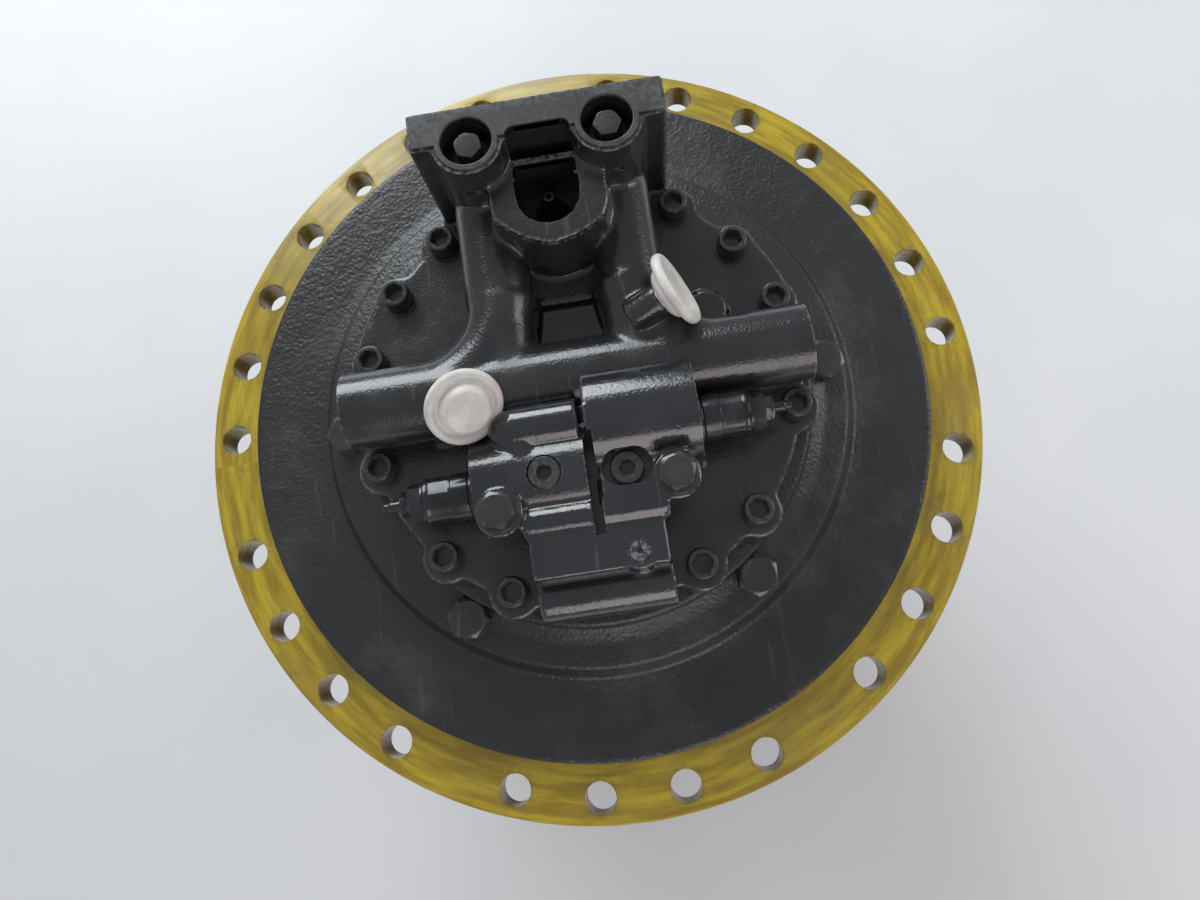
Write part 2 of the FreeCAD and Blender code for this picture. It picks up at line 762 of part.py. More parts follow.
def make_carrier(label, circle, count, plates, posts, pin, post_angle, bolted=False):
    """Two plates joined by posts: each plate is (low, high, bore, outer radius)."""
    low_plate, high_plate = plates
    solids = []
    for number, (low, high, bore, outer) in enumerate(plates):
        disc = rod(f"{label}_plate_{number}", outer, high - low, (0, 0, low))
        hole = rod(f"{label}_bore_{number}", bore, high - low, (0, 0, low))
        solids.append(cut(f"{label}_ring_{number}", disc, hole))
    post_circle, post_radius = posts
    for number in range(count):
        place = polar(post_circle, 360 / count * number + post_angle)
        height = high_plate[0] - low_plate[1]
        base = (place.x, place.y, low_plate[1])
        solids.append(rod(f"{label}_post_{number}", post_radius, height, base))
    tools = []
    for number in range(count):
        place = polar(circle, 360 / count * number)
        base = (place.x, place.y, low_plate[0] - 1)
        tools.append(rod(f"{label}_seat_{number}", pin, high_plate[1] - low_plate[0] + 2, base))
    for number in range(8 if bolted else 0):
        place = polar(carrier_circle, 22.5 + 45 * number)
        base = (place.x, place.y, high_plate[0])
        tools.append(rod(f"{label}_screw_hole_{number}", 8.3, 30, base))
        tools.append(rod(f"{label}_head_seat_{number}", 12.3, 14, base))
    made = cut(label + "_cut", fused(label + "_forms", solids), fused(label + "_tools", tools))
    return keep(made, label)


def make_gearing():
    sun_1, planet_1 = int(first_sun_teeth), int(first_planet_teeth)
    sun_2, planet_2 = int(second_sun_teeth), int(second_planet_teeth)
    circle_1 = float(gear_module) * (sun_1 + planet_1) / 2
    circle_2 = float(gear_module) * (sun_2 + planet_2) / 2
    phase_1 = math.pi / 10
    make_planets("abc", "1", sun_1, planet_1, phase_1, -390, -350, 21)
    make_planets("abcd", "2", sun_2, planet_2, 0, -300, -236, 27)
    first = spur_gear(sun_1, phase_1, -392, -348, 0)
    shaft = lathe([(0, -348), (20, -348), (20, -200), (18, -198), (0, -198)])
    group("sun_gear_1", [first.fuse(shaft).removeSplitter()])
    second = spur_gear(sun_2, 0, -302, -234, 0)
    collar = Part.makeCylinder(48, 44, Vector(0, 0, -346))
    way = Part.makeCylinder(30, 120, Vector(0, 0, -350))
    group("sun_gear_2", [second.fuse(collar).cut(way).removeSplitter()])
    outer = Part.makeCylinder(float(gearcase_radius), gearcase_top - gearcase_base)
    pitch_radius = float(gear_module) * int(ring_teeth) / 2
    inner = Part.Face(
        tooth_wire(
            int(ring_teeth),
            pitch_radius - addendum,
            pitch_radius + dedendum,
            backlash,
            math.pi / int(ring_teeth),
        )
    ).extrude(UP * (gearcase_top - gearcase_base))
    hollow = outer.cut(inner)
    for number in range(16):
        place = polar(gearcase_circle, 22.5 * number)
        hollow = hollow.cut(Part.makeCylinder(8.3, 200, place))
    hollow.translate(Vector(0, 0, gearcase_base))
    group("ring_gear", [hollow])
    make_carrier(
        "carrier_2",
        circle_2,
        4,
        [(-322, -304, 66, 150), (-232, -206, 40, 150)],
        (125, 16),
        22,
        45,
        bolted=True,
    )
    make_carrier(
        "carrier_1",
        circle_1,
        3,
        [(-408, -394, 45, 148), (-346, -326, 48, 148)],
        (122, 18),
        16,
        60,
    )
    for level, circle, count, pin, bore, low, high, gear_low, gear_high in (
        ("2", circle_2, 4, 22, 27, -322, -206, -300, -236),
        ("1", circle_1, 3, 16, 21, -408, -326, -390, -350),
    ):
        pins = []
        needles = []
        for number in range(count):
            place = polar(circle, 360 / count * number)
            shape = Part.makeCylinder(pin, high - low, place + Vector(0, 0, low))
            pins.append(shape)
            sleeve = Part.makeCylinder(bore - 0.05, gear_high - gear_low)
            sleeve = sleeve.cut(Part.makeCylinder(pin, gear_high - gear_low))
            needles.append(placed(sleeve, place + Vector(0, 0, gear_low)))
        group(f"planet_pins_{level}", pins)
        group(f"planet_bearings_{level}", needles)


# ---------------------------------------------------------------- hub and bearings
def make_hub():
    outer = bearing_radius
    hub = turned(
        "hub",
        [
            (216, -64),
            (hub_radius, -64),
            (hub_radius, -100),
            (sprocket_radius, -100),
            (sprocket_radius, -128),
            (sprocket_pilot, -128),
            (sprocket_pilot, -138),
            (244, -150),
            (gearcase_radius, gearcase_top),
            (outer, gearcase_top),
            (outer, -152),
            (200, -152),
            (200, -122),
            (outer, -122),
            (outer, -80),
            (216, -80),
        ],
    )
    drill_circle(hub, "sprocket_holes", 24, sprocket_circle, sprocket_hole)
    drill_circle(hub, "gearcase_threads", 16, gearcase_circle, 8, gearcase_top, 32)
    cover = turned(
        "gearbox_cover",
        [
            (0, -424),
            (160, -424),
            (178, gearcase_base),
            (gearcase_radius, gearcase_base),
            (gearcase_radius, -420),
            (206, -420),
            (188, foot_level),
            (0, foot_level),
        ],
    )
    drill_circle(cover, "gearcase_holes", 16, gearcase_circle, 8.3)
    drill(cover, "oil_holes", oil_places, 15)


def make_bearings():
    rows = []
    inner = []
    outer = []
    for low in (-186, -122):
        high = low + 34
        inner.append(lathe([(165, low), (180, low), (177, high), (165, high)]))
        rows.append(lathe([(180.3, low + 4), (192.7, low + 4), (195.7, high - 4), (177.6, high - 4)]))
        outer.append(lathe([(193.1, low), (208, low), (208, high), (196.5, high)]))
    group("main_bearing_inner_rings", inner)
    group("main_bearing_rollers", rows)
    group("main_bearing_outer_rings", outer)
    ring("bearing_nut", 157, 182, -204, -188)
    turned(
        "floating_seal_upper",
        [(192, -71.95), (213, -71.95), (213, -68), (204, -64), (204, -46), (192, -46)],
    )
    turned(
        "floating_seal_lower",
        [(192, -72), (213, -72), (213, -80), (207.5, -80), (207.5, -86), (192, -86)],
    )


# ---------------------------------------------------------------- hydraulic motor
def make_motor():
    turned(
        "drive_shaft",
        [
            (0, -198),
            (20, -198),
            (20, -226),
            (31, -226),
            (31, -180),
            (26, -176),
            (26, -138),
            (28, -134),
            (28, cavity_floor),
            (24, -100),
            (24, 50),
            (18, 54),
            (18, 76),
            (0, 76),
        ],
    )
    turned(
        "shaft_bearing_front",
        [(28.05, -132), (55, -132), (55, cavity_floor), (28.05, cavity_floor)],
    )
    ring("shaft_bearing_rear", 18.05, 26, 56, 76)
    ring("shaft_seal", 26.05, 36, -150, -140)
    block_bore = 54
    barrel = lathe([(24, -20), (80, -20), (80, 50), (24, 50)])
    pistons = []
    shoes = []
    plate = lathe([(34, -51), (76, -51), (76, -47), (34, -47)])
    for number in range(9):
        place = polar(block_bore, 40 * number)
        barrel = barrel.cut(Part.makeCylinder(10, 64, place + Vector(0, 0, -20)))
        barrel = barrel.cut(Part.makeCylinder(5, 8, place + Vector(0, 0, 43)))
        pistons.append(Part.makeCylinder(9.95, 70, place + Vector(0, 0, -40)))
        foot = lathe([(0, -56), (14, -56), (14, -51), (9, -51), (7, -40), (0, -40)])
        shoes.append(placed(foot, place))
        plate = plate.cut(Part.makeCylinder(10, 8, place + Vector(0, 0, -53)))
    group("cylinder_block", [barrel])
    group("pistons", pistons)
    group("piston_shoes", shoes)
    group("retainer_plate", [plate])
    ring("valve_plate", 26, 80, 50.1, 56)
    wedge = Part.makeCylinder(90, 46, Vector(0, 0, cavity_floor))
    wedge = wedge.cut(Part.makeCylinder(34, 50, Vector(0, 0, cavity_floor)))
    slope = Part.makeBox(300, 300, 60, Vector(-150, -150, 0))
    slope.rotate(Vector(), RIGHT, 12)
    slope.translate(Vector(0, 0, -78))
    group("swash_plate", [wedge.cut(slope)])
    friction = []
    steel = []
    for number in range(7):
        low = -14 + 3 * number
        if number % 2:
            disc = lathe([(80, low + 0.05), (104, low + 0.05), (104, low + 2.95), (80, low + 2.95)])
            friction.append(disc)
        else:
            steel.append(lathe([(86, low), (112, low), (112, low + 3), (86, low + 3)]))
    group("brake_friction_discs", friction)
    group("brake_steel_plates", steel)
    turned("brake_piston", [(84, 7), (111.7, 7), (111.7, 40), (104, 40), (96, 24), (84, 24)])
    ring("brake_disc_spring", 86, 108, 40, 56)
    spool = lathe(
        [
            (0, -90),
            (15.95, -90),
            (15.95, -60),
            (9, -58),
            (9, -24),
            (15.95, -22),
            (15.95, 22),
            (9, 24),
            (9, 58),
            (15.95, 60),
            (15.95, 90),
            (0, 90),
        ]
    )
    group("counterbalance_spool", [placed(spool, (0, arm_line, arm_height), RIGHT)])
    coil = lathe([(9, 0), (14, 0), (14, 50), (9, 50)])
    plug = lathe([(0, 0), (19.9, 0), (19.9, 22), (0, 22)])
    recess = hex_bar(14, 12)
    recess.translate(Vector(0, 0, 10))
    plug = plug.cut(recess)
    springs = []
    ends = []
    for side in (1, -1):
        springs.append(placed(coil, (side * 102, arm_line, arm_height), RIGHT * side))
        ends.append(placed(plug, (side * 155, arm_line, arm_height), RIGHT * side))
    group("centring_springs", springs)
    group("spool_end_plugs", ends)


def make_fastenings():
    """Fasteners of the gearbox end."""
    long_screw = make_screw(7.9, 214, 12, 14, 14)
    places = [polar(gearcase_circle, 22.5 * number) for number in range(16)]
    screws = [placed(long_screw, (p.x, p.y, -420), DOWN) for p in places]
    group("gearbox_cover_screws", screws)
    carrier_screw = make_screw(7.9, 40, 12, 14, 14)
    places = [polar(carrier_circle, 22.5 + 45 * number) for number in range(8)]
    group("carrier_screws", [placed(carrier_screw, (p.x, p.y, -218), DOWN) for p in places])
    plug = lathe([(0, -16), (15, -16), (15, 0), (0, 0)])
    recess = hex_bar(14, 8)
    recess.translate(Vector(0, 0, -7))
    plug = plug.cut(recess)
    group("gearbox_plugs", [placed(plug, (*place, -438), DOWN) for place in oil_places])


make_casing()
make_valve(make_cover())
make_relief("relief_valve_right", 1)
make_relief("relief_valve_left", -1)
hardware()
make_caps()
make_hub()
make_gearing()
make_bearings()
make_motor()
make_fastenings()

doc.recompute()

# ---------------------------------------------------------------- check and write
for item in doc.Objects:
    if "Invalid" in item.State or "Error" in item.State:
        raise RuntimeError(f"{item.Label}: {item.State}")
for label, item in parts.items():
    if item.Shape.isNull() or not item.Shape.isValid():
        raise RuntimeError(f"{label}: bad shape")
os.makedirs("parts", exist_ok=True)
for label, item in parts.items():
    item.Shape.exportStep(f"parts/{label}.step")
print(len(parts), "sub-parts written")
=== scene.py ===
import json
import math

import bmesh
import bpy
from mathutils import Euler, Matrix, Vector


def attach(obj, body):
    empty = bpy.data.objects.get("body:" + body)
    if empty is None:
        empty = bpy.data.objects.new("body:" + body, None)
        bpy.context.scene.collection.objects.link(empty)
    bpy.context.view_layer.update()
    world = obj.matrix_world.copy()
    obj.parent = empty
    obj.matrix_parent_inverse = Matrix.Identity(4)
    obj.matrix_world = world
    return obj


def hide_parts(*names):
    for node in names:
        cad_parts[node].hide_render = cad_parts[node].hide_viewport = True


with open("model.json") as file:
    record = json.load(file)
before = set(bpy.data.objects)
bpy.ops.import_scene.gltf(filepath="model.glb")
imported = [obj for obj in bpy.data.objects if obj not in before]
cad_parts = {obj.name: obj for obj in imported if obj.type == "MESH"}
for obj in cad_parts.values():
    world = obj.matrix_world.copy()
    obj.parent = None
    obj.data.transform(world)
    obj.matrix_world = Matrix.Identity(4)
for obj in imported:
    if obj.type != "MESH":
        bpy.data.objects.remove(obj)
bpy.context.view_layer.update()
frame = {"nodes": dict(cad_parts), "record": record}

# Track final drive with its travel motor on top. Shapes are built in millimetres in the part's
# own frame (+Z out of the motor side, +Y to the port block), and finished in metres.

MILLIMETRE = 0.001
UP = Vector((0, 0, 1))
RIGHT = Vector((1, 0, 0))
LEFT = Vector((-1, 0, 0))
FORTH = Vector((0, 1, 0))
OUTWARD = {1: RIGHT, -1: LEFT}


def polar(radius, angle):
    turn = math.radians(angle)
    return Vector((radius * math.cos(turn), radius * math.sin(turn), 0))


# ---------------------------------------------------------------- shapes
def aim(base, direction=UP, spin=0):
    """The place that stands a shape's own Z along a direction at a base point."""
    turn = Vector(direction).to_track_quat("Z", "Y").to_matrix().to_4x4()
    return Matrix.Translation(base) @ turn @ Matrix.Rotation(math.radians(spin), 4, "Z")


def add_rod(form, radius, height, base, direction=UP, sides=64, spin=0):
    """A round bar standing on its base point; six sides make a hexagon."""
    place = aim(base, direction, spin) @ Matrix.Translation((0, 0, height / 2))
    bmesh.ops.create_cone(form, cap_ends=True, segments=sides, radius1=radius,
                          radius2=radius, depth=height, matrix=place)


def add_block(form, low, high):
    low, high = Vector(low), Vector(high)
    place = Matrix.Translation((low + high) / 2) @ Matrix.Diagonal((*(high - low), 1))
    bmesh.ops.create_cube(form, size=1, matrix=place)


def add_ball(form, radius, centre, stretch=(1, 1, 1)):
    place = Matrix.Translation(centre) @ Matrix.Diagonal((*stretch, 1))
    bmesh.ops.create_uvsphere(form, u_segments=40, v_segments=20, radius=radius, matrix=place)


def add_shape(form, shape):
    """Joins a finished shape to a form."""
    mesh = bpy.data.meshes.new("joined")
    shape.to_mesh(mesh)
    shape.free()
    form.from_mesh(mesh)
    bpy.data.meshes.remove(mesh)


def round_corners(form, corners, points):
    """Rounds each corner of a flat outline whose point gives a rounding as its third value."""
    for corner, point in zip(corners, points):
        if len(point) > 2:
            bmesh.ops.bevel(form, geom=[corner], affect="VERTICES", offset=point[2], segments=6,
                            profile=0.5, material=-1)


def turned(profile, place=None, sides=96):
    """A body of revolution about Z from (radius, height[, corner rounding])."""
    form = bmesh.new()
    corners = [form.verts.new((point[0], 0, point[1])) for point in profile]
    form.faces.new(corners)
    round_corners(form, corners, profile)
    bmesh.ops.delete(form, geom=form.faces[:], context="FACES_ONLY")
    on_axis = [edge for edge in form.edges if max(v.co.x for v in edge.verts) < 1e-6]
    bmesh.ops.delete(form, geom=on_axis, context="EDGES")
    bmesh.ops.spin(form, geom=form.verts[:] + form.edges[:], cent=(0, 0, 0), axis=(0, 0, 1),
                   angle=math.tau, steps=sides, use_merge=True)
    bmesh.ops.remove_doubles(form, verts=form.verts[:], dist=1e-4)
    bmesh.ops.recalc_face_normals(form, faces=form.faces[:])
    bmesh.ops.transform(form, matrix=place or Matrix(), verts=form.verts[:])
    return form


def slab(outline, low, high):
    """A plate with upright sides over (x, y[, corner rounding])."""
    form = bmesh.new()
    corners = [form.verts.new((point[0], point[1], low)) for point in outline]
    form.faces.new(corners)
    round_corners(form, corners, outline)
    pushed = bmesh.ops.extrude_face_region(form, geom=form.faces[:])
    lifted = [item for item in pushed["geom"] if isinstance(item, bmesh.types.BMVert)]
    bmesh.ops.translate(form, verts=lifted, vec=(0, 0, high - low))
    bmesh.ops.recalc_face_normals(form, faces=form.faces[:])
    return form


def swept(section, centre, start, sweep, steps=24):
    """A closed (distance, height) section swept round an upright axis."""
    form = bmesh.new()
    corners = [form.verts.new((point[0], 0, point[1])) for point in section]
    form.faces.new(corners)
    bmesh.ops.spin(form, geom=form.verts[:] + form.edges[:] + form.faces[:], cent=(0, 0, 0),
                   axis=(0, 0, 1), angle=math.radians(sweep), steps=steps, use_merge=False)
    bmesh.ops.recalc_face_normals(form, faces=form.faces[:])
    place = Matrix.Translation(centre) @ Matrix.Rotation(math.radians(start), 4, "Z")
    bmesh.ops.transform(form, matrix=place, verts=form.verts[:])
    return form


def circle_section(distance, height, radius, count=24):
    """A round section for swept()."""
    return [(distance + radius * math.cos(math.tau * n / count),
             height + radius * math.sin(math.tau * n / count)) for n in range(count)]


def stand(name, form):
    """Makes a form an object, still in millimetres."""
    mesh = bpy.data.meshes.new(name)
    form.to_mesh(mesh)
    form.free()
    made = bpy.data.objects.new(name, mesh)
    bpy.context.collection.objects.link(made)
    return made


def settle(made):
    """Applies an object's modifiers to its mesh."""
    graph = bpy.context.evaluated_depsgraph_get()
    graph.update()
    mesh = bpy.data.meshes.new_from_object(made.evaluated_get(graph))
    made.modifiers.clear()
    made.data, old = mesh, made.data
    bpy.data.meshes.remove(old)
    made.data.materials.clear()
    return made


def cast(name, form, voxel, passes):
    """Runs overlapping forms together into one casting with soft corners."""
    made = stand(name, form)
    skin = made.modifiers.new("skin", "REMESH")
    skin.mode = "VOXEL"
    skin.voxel_size = voxel
    flow = made.modifiers.new("flow", "SMOOTH")
    flow.factor = 0.5
    flow.iterations = passes
    return settle(made)


def carve(made, tools, operation="DIFFERENCE"):
    """Cuts, joins or intersects an object with a list of forms."""
    cutters = [stand("tool", tool) for tool in tools]
    for cutter in cutters:
        step = made.modifiers.new("carve", "BOOLEAN")
        step.operation = operation
        step.solver = "MANIFOLD"
        step.object = cutter
    settle(made)
    for cutter in cutters:
        mesh = cutter.data
        bpy.data.objects.remove(cutter)
        bpy.data.meshes.remove(mesh)
    return made


def finish(made, material, body, nodes=(), corner=35, edge=0):
    """Brings an object to metres, gives it its finish and body, and hides the solids it stands for."""
    mesh = made.data
    form = bmesh.new()
    form.from_mesh(mesh)
    bmesh.ops.scale(form, vec=(MILLIMETRE,) * 3, verts=form.verts[:])
    form.to_mesh(mesh)
    form.free()
    if not mesh.materials:
        mesh.materials.append(material)
    for face in mesh.polygons:
        face.use_smooth = True
    mesh.set_sharp_from_angle(angle=math.radians(corner))
    if edge:
        rounding = made.modifiers.new("edge", "BEVEL")
        rounding.limit_method = "ANGLE"
        rounding.angle_limit = math.radians(corner)
        rounding.width = edge * MILLIMETRE
        rounding.segments = 2
        rounding.harden_normals = True
    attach(made, body)
    if nodes:
        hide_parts(*nodes)
    return made


# ---------------------------------------------------------------- finishes
def new_group(name, inputs, outputs):
    """A shared node group with named number inputs and outputs of the kinds given."""
    group = bpy.data.node_groups.new(name, "ShaderNodeTree")
    for label, value in inputs:
        socket = group.interface.new_socket(label, in_out="INPUT", socket_type="NodeSocketFloat")
        socket.default_value = value
    for label, kind in outputs:
        group.interface.new_socket(label, in_out="OUTPUT", socket_type=kind)
    return group


class Tree:
    """Short hand for placing and joining the nodes of one tree."""

    def __init__(self, tree):
        self.tree = tree

    def put(self, kind, inputs=(), **settings):
        node = self.tree.nodes.new(kind)
        for key, value in settings.items():
            setattr(node, key, value)
        for key, value in dict(inputs).items():
            if isinstance(value, bpy.types.NodeSocket):
                self.tree.links.new(value, node.inputs[key])
            else:
                node.inputs[key].default_value = value
        return node

    def math(self, operation, first, second):
        node = self.put("ShaderNodeMath", {0: first, 1: second}, operation=operation)
        return node.outputs[0]

    def place(self):
        return self.put("ShaderNodeTexCoord").outputs["Object"]

    def noise(self, scale, detail=3, roughness=0.55, vector=None):
        node = self.put("ShaderNodeTexNoise", {"Scale": scale, "Detail": detail,
                        "Roughness": roughness, "Vector": vector or self.place()})
        return node.outputs["Fac"]

    def span(self, value, low, high, to_low=0.0, to_high=1.0):
        """Maps a number from one range to another, smoothly and clamped."""
        node = self.put("ShaderNodeMapRange", {"Value": value, "From Min": low,
                        "From Max": high, "To Min": to_low, "To Max": to_high})
        node.interpolation_type = "SMOOTHSTEP"
        return node.outputs["Result"]

    def mix(self, amount, first, second):
        node = self.put("ShaderNodeMix", data_type="RGBA")
        for socket, value in zip((node.inputs[0], node.inputs[6], node.inputs[7]),
                                 (amount, first, second)):
            if isinstance(value, bpy.types.NodeSocket):
                self.tree.links.new(value, socket)
            else:
                socket.default_value = value
        return node.outputs[2]


def cast_skin_group():
    """Pebbly skin of painted cast iron: height, and a mask of its hollows for painted shade."""
    group = new_group("cast_skin", [("Lump", 90.0), ("Grain", 420.0)],
                      [("Height", "NodeSocketFloat"), ("Hollow_shade", "NodeSocketFloat")])
    tree = Tree(group)
    given = tree.put("NodeGroupInput")
    lumps = tree.noise(given.outputs["Lump"], 4, 0.6)
    grain = tree.noise(given.outputs["Grain"], 3, 0.6)
    pebble = tree.put("ShaderNodeTexVoronoi", {"Scale": given.outputs["Grain"],
                      "Vector": tree.place()}, feature="SMOOTH_F1").outputs["Distance"]
    fine = tree.math("MULTIPLY", tree.math("ADD", grain, pebble), 0.45)
    height = tree.math("ADD", tree.math("MULTIPLY", lumps, 0.9), fine)
    # The hollows of the pebbly skin get painted shade through this mask.
    shade_in_hollows = tree.span(height, 0.75, 0.5)
    tree.put("NodeGroupOutput", {"Height": height, "Hollow_shade": shade_in_hollows})
    return group


def dust_group():
    """Thin cloudy dust and handling marks: one slow mask and one of fine scratches."""
    group = new_group("dust", [("Cloud", 14.0), ("Scratch", 160.0)],
                      [("Dust", "NodeSocketFloat"), ("Marks", "NodeSocketFloat")])
    tree = Tree(group)
    given = tree.put("NodeGroupInput")
    dust = tree.span(tree.noise(given.outputs["Cloud"], 6, 0.65), 0.46, 0.72)
    stretched = tree.put("ShaderNodeMapping", {"Vector": tree.place(),
                         "Scale": (1.0, 0.08, 0.3), "Rotation": (0.2, 0.1, 0.6)})
    marks = tree.noise(given.outputs["Scratch"], 2, 0.5, stretched.outputs[0])
    marks = tree.span(marks, 0.66, 0.74)
    tree.put("NodeGroupOutput", {"Dust": dust, "Marks": marks})
    return group


def wear_group():
    """Raised edges where paint thins: a mask from the curve of the surface."""
    group = new_group("edge_wear", [("Break", 260.0)], [("Wear", "NodeSocketFloat")])
    tree = Tree(group)
    given = tree.put("NodeGroupInput")
    curve = tree.put("ShaderNodeNewGeometry").outputs["Pointiness"]
    edge = tree.span(curve, 0.515, 0.56)
    broken = tree.span(tree.noise(given.outputs["Break"], 3), 0.4, 0.6)
    tree.put("NodeGroupOutput", {"Wear": tree.math("MULTIPLY", edge, broken)})
    return group


def turning_group():
    """Fine rings that a lathe leaves about the part's axis."""
    group = new_group("turning", [("Pitch", 900.0)],
                      [("Height", "NodeSocketFloat"), ("Streak", "NodeSocketFloat")])
    tree = Tree(group)
    given = tree.put("NodeGroupInput")
    parts = tree.put("ShaderNodeSeparateXYZ", {"Vector": tree.place()})
    across, along = parts.outputs["X"], parts.outputs["Y"]
    squares = tree.math("ADD", tree.math("MULTIPLY", across, across),
                        tree.math("MULTIPLY", along, along))
    radius = tree.math("POWER", squares, 0.5)
    angle = tree.math("ARCTAN2", along, across)
    round_ring = tree.math("MULTIPLY", angle, 0.012)
    ring_place = tree.put("ShaderNodeCombineXYZ", {"X": radius, "Y": round_ring,
                          "Z": parts.outputs["Z"]}).outputs[0]
    rings = tree.noise(given.outputs["Pitch"], 2, 0.5, ring_place)
    wide = tree.put("ShaderNodeMapping", {"Vector": ring_place, "Scale": (0.16, 0.5, 0.16)})
    streak = tree.noise(given.outputs["Pitch"], 5, 0.6, wide.outputs[0])
    tree.put("NodeGroupOutput", {"Height": rings, "Streak": streak})
    return group


cast_skin = cast_skin_group()
dust = dust_group()
edge_wear = wear_group()
turning = turning_group()


def place_group(tree, group, **values):
    node = tree.put("ShaderNodeGroup")
    node.node_tree = group
    for key, value in values.items():
        node.inputs[key].default_value = value
    return node.outputs


def new_finish(name):
    material = bpy.data.materials.new(name)
    material.use_nodes = True
    material.node_tree.nodes.clear()
    tree = Tree(material.node_tree)
    shader = tree.put("ShaderNodeBsdfPrincipled")
    tree.put("ShaderNodeOutputMaterial", {"Surface": shader.outputs[0]})
    return material, tree, shader


def join(tree, shader, **values):
    """Sets plain values and links on a shader; underscores stand for spaces."""
    for key, value in values.items():
        socket = shader.inputs[key.replace("_", " ")]
        if isinstance(value, bpy.types.NodeSocket):
            tree.tree.links.new(value, socket)
        else:
            socket.default_value = value


def bump(tree, height, strength, distance):
    """Distance is the depth of the marks in metres."""
    node = tree.put("ShaderNodeBump", {"Height": height, "Strength": strength,
                    "Distance": distance})
    return node.outputs["Normal"]


def paint(name, colour, deep, dusty, bare, gloss, lump, grain, depth, coat=0.0, wear=0.6):
    """Paint over a casting: colour, painted shade in the hollows, dusty film, worn edge and gloss range.
    """
    material, tree, shader = new_finish(name)
    skin = place_group(tree, cast_skin, Lump=lump, Grain=grain)
    film = place_group(tree, dust)
    worn = place_group(tree, edge_wear)
    # Painted shade: the low spots of the skin take the darker second colour.
    shade = tree.mix(skin["Hollow_shade"], (*colour, 1), (*deep, 1))
    shade = tree.mix(tree.math("MULTIPLY", film["Dust"], 0.55), shade, (*dusty, 1))
    shade = tree.mix(tree.math("MULTIPLY", worn["Wear"], wear), shade, (*bare, 1))
    shade = tree.mix(tree.math("MULTIPLY", film["Marks"], 0.1), shade, (*bare, 1))
    smooth, rough = gloss
    sheen = tree.span(film["Dust"], 0, 1, smooth, rough)
    join(tree, shader, Base_Color=shade, Roughness=sheen,
         Normal=bump(tree, skin["Height"], 1.0, depth), Coat_Weight=coat,
         Coat_Roughness=0.12, Specular_IOR_Level=0.5)
    return material


# In each paint the second colour is the painted shade in the hollows of the skin.
casing_black = paint("casing_black_paint", (0.024, 0.024, 0.025), (0.012, 0.012, 0.013),
                     (0.058, 0.054, 0.048), (0.2, 0.19, 0.18), (0.34, 0.5), 70, 330, 0.0009,
                     wear=0.35)
cover_black = paint("cover_black_paint", (0.022, 0.022, 0.024), (0.01, 0.01, 0.012),
                    (0.05, 0.048, 0.045), (0.28, 0.28, 0.29), (0.2, 0.36), 60, 520, 0.00042,
                    coat=0.35, wear=0.5)
rough_black = paint("rough_cast_black_paint", (0.022, 0.022, 0.023), (0.008, 0.008, 0.009),
                    (0.05, 0.048, 0.045), (0.2, 0.2, 0.2), (0.25, 0.4), 150, 300, 0.0016,
                    coat=0.2, wear=0.4)
valve_black = paint("valve_gloss_black_paint", (0.018, 0.019, 0.022), (0.008, 0.009, 0.011),
                    (0.04, 0.04, 0.042), (0.3, 0.31, 0.33), (0.12, 0.22), 75, 480, 0.00036,
                    coat=0.6, wear=0.5)


def yellow_finish():
    """Yellow paint over a turned flange: streaked round the ring, thin and dirty in places."""
    material, tree, shader = new_finish("ring_yellow_paint")
    lathe = place_group(tree, turning, Pitch=700.0)
    film = place_group(tree, dust, Cloud=9.0, Scratch=120.0)
    worn = place_group(tree, edge_wear)
    tone = tree.span(lathe["Streak"], 0.35, 0.68)
    shade = tree.mix(tone, (0.30, 0.2, 0.012, 1), (0.54, 0.40, 0.022, 1))
    shade = tree.mix(tree.math("MULTIPLY", film["Dust"], 0.6), shade, (0.30, 0.22, 0.035, 1))
    blotch = tree.span(tree.noise(30.0, 6, 0.7), 0.56, 0.72)
    shade = tree.mix(tree.math("MULTIPLY", blotch, 0.45), shade, (0.16, 0.11, 0.03, 1))
    shade = tree.mix(tree.math("MULTIPLY", worn["Wear"], 0.7), shade, (0.12, 0.10, 0.07, 1))
    height = tree.math("ADD", lathe["Height"], tree.math("MULTIPLY", tree.noise(500.0), 0.5))
    join(tree, shader, Base_Color=shade, Roughness=tree.span(film["Dust"], 0, 1, 0.28, 0.46),
         Normal=bump(tree, height, 0.6, 0.00012), Coat_Weight=0.3, Coat_Roughness=0.2)
    return material


def metal(name, light, dark, gloss, metallic=1.0, pitch=900.0, depth=0.00006, coat=0.0):
    """Machined metal with tool marks and oil clouds."""
    material, tree, shader = new_finish(name)
    lathe = place_group(tree, turning, Pitch=pitch)
    film = place_group(tree, dust, Cloud=40.0)
    shade = tree.mix(tree.span(lathe["Streak"], 0.3, 0.7), (*dark, 1), (*light, 1))
    shade = tree.mix(tree.math("MULTIPLY", film["Dust"], 0.4), shade, (*dark, 1))
    smooth, rough = gloss
    join(tree, shader, Base_Color=shade, Roughness=tree.span(film["Dust"], 0, 1, smooth, rough),
         Metallic=metallic, Normal=bump(tree, lathe["Height"], 0.5, depth), Coat_Weight=coat)
    return material


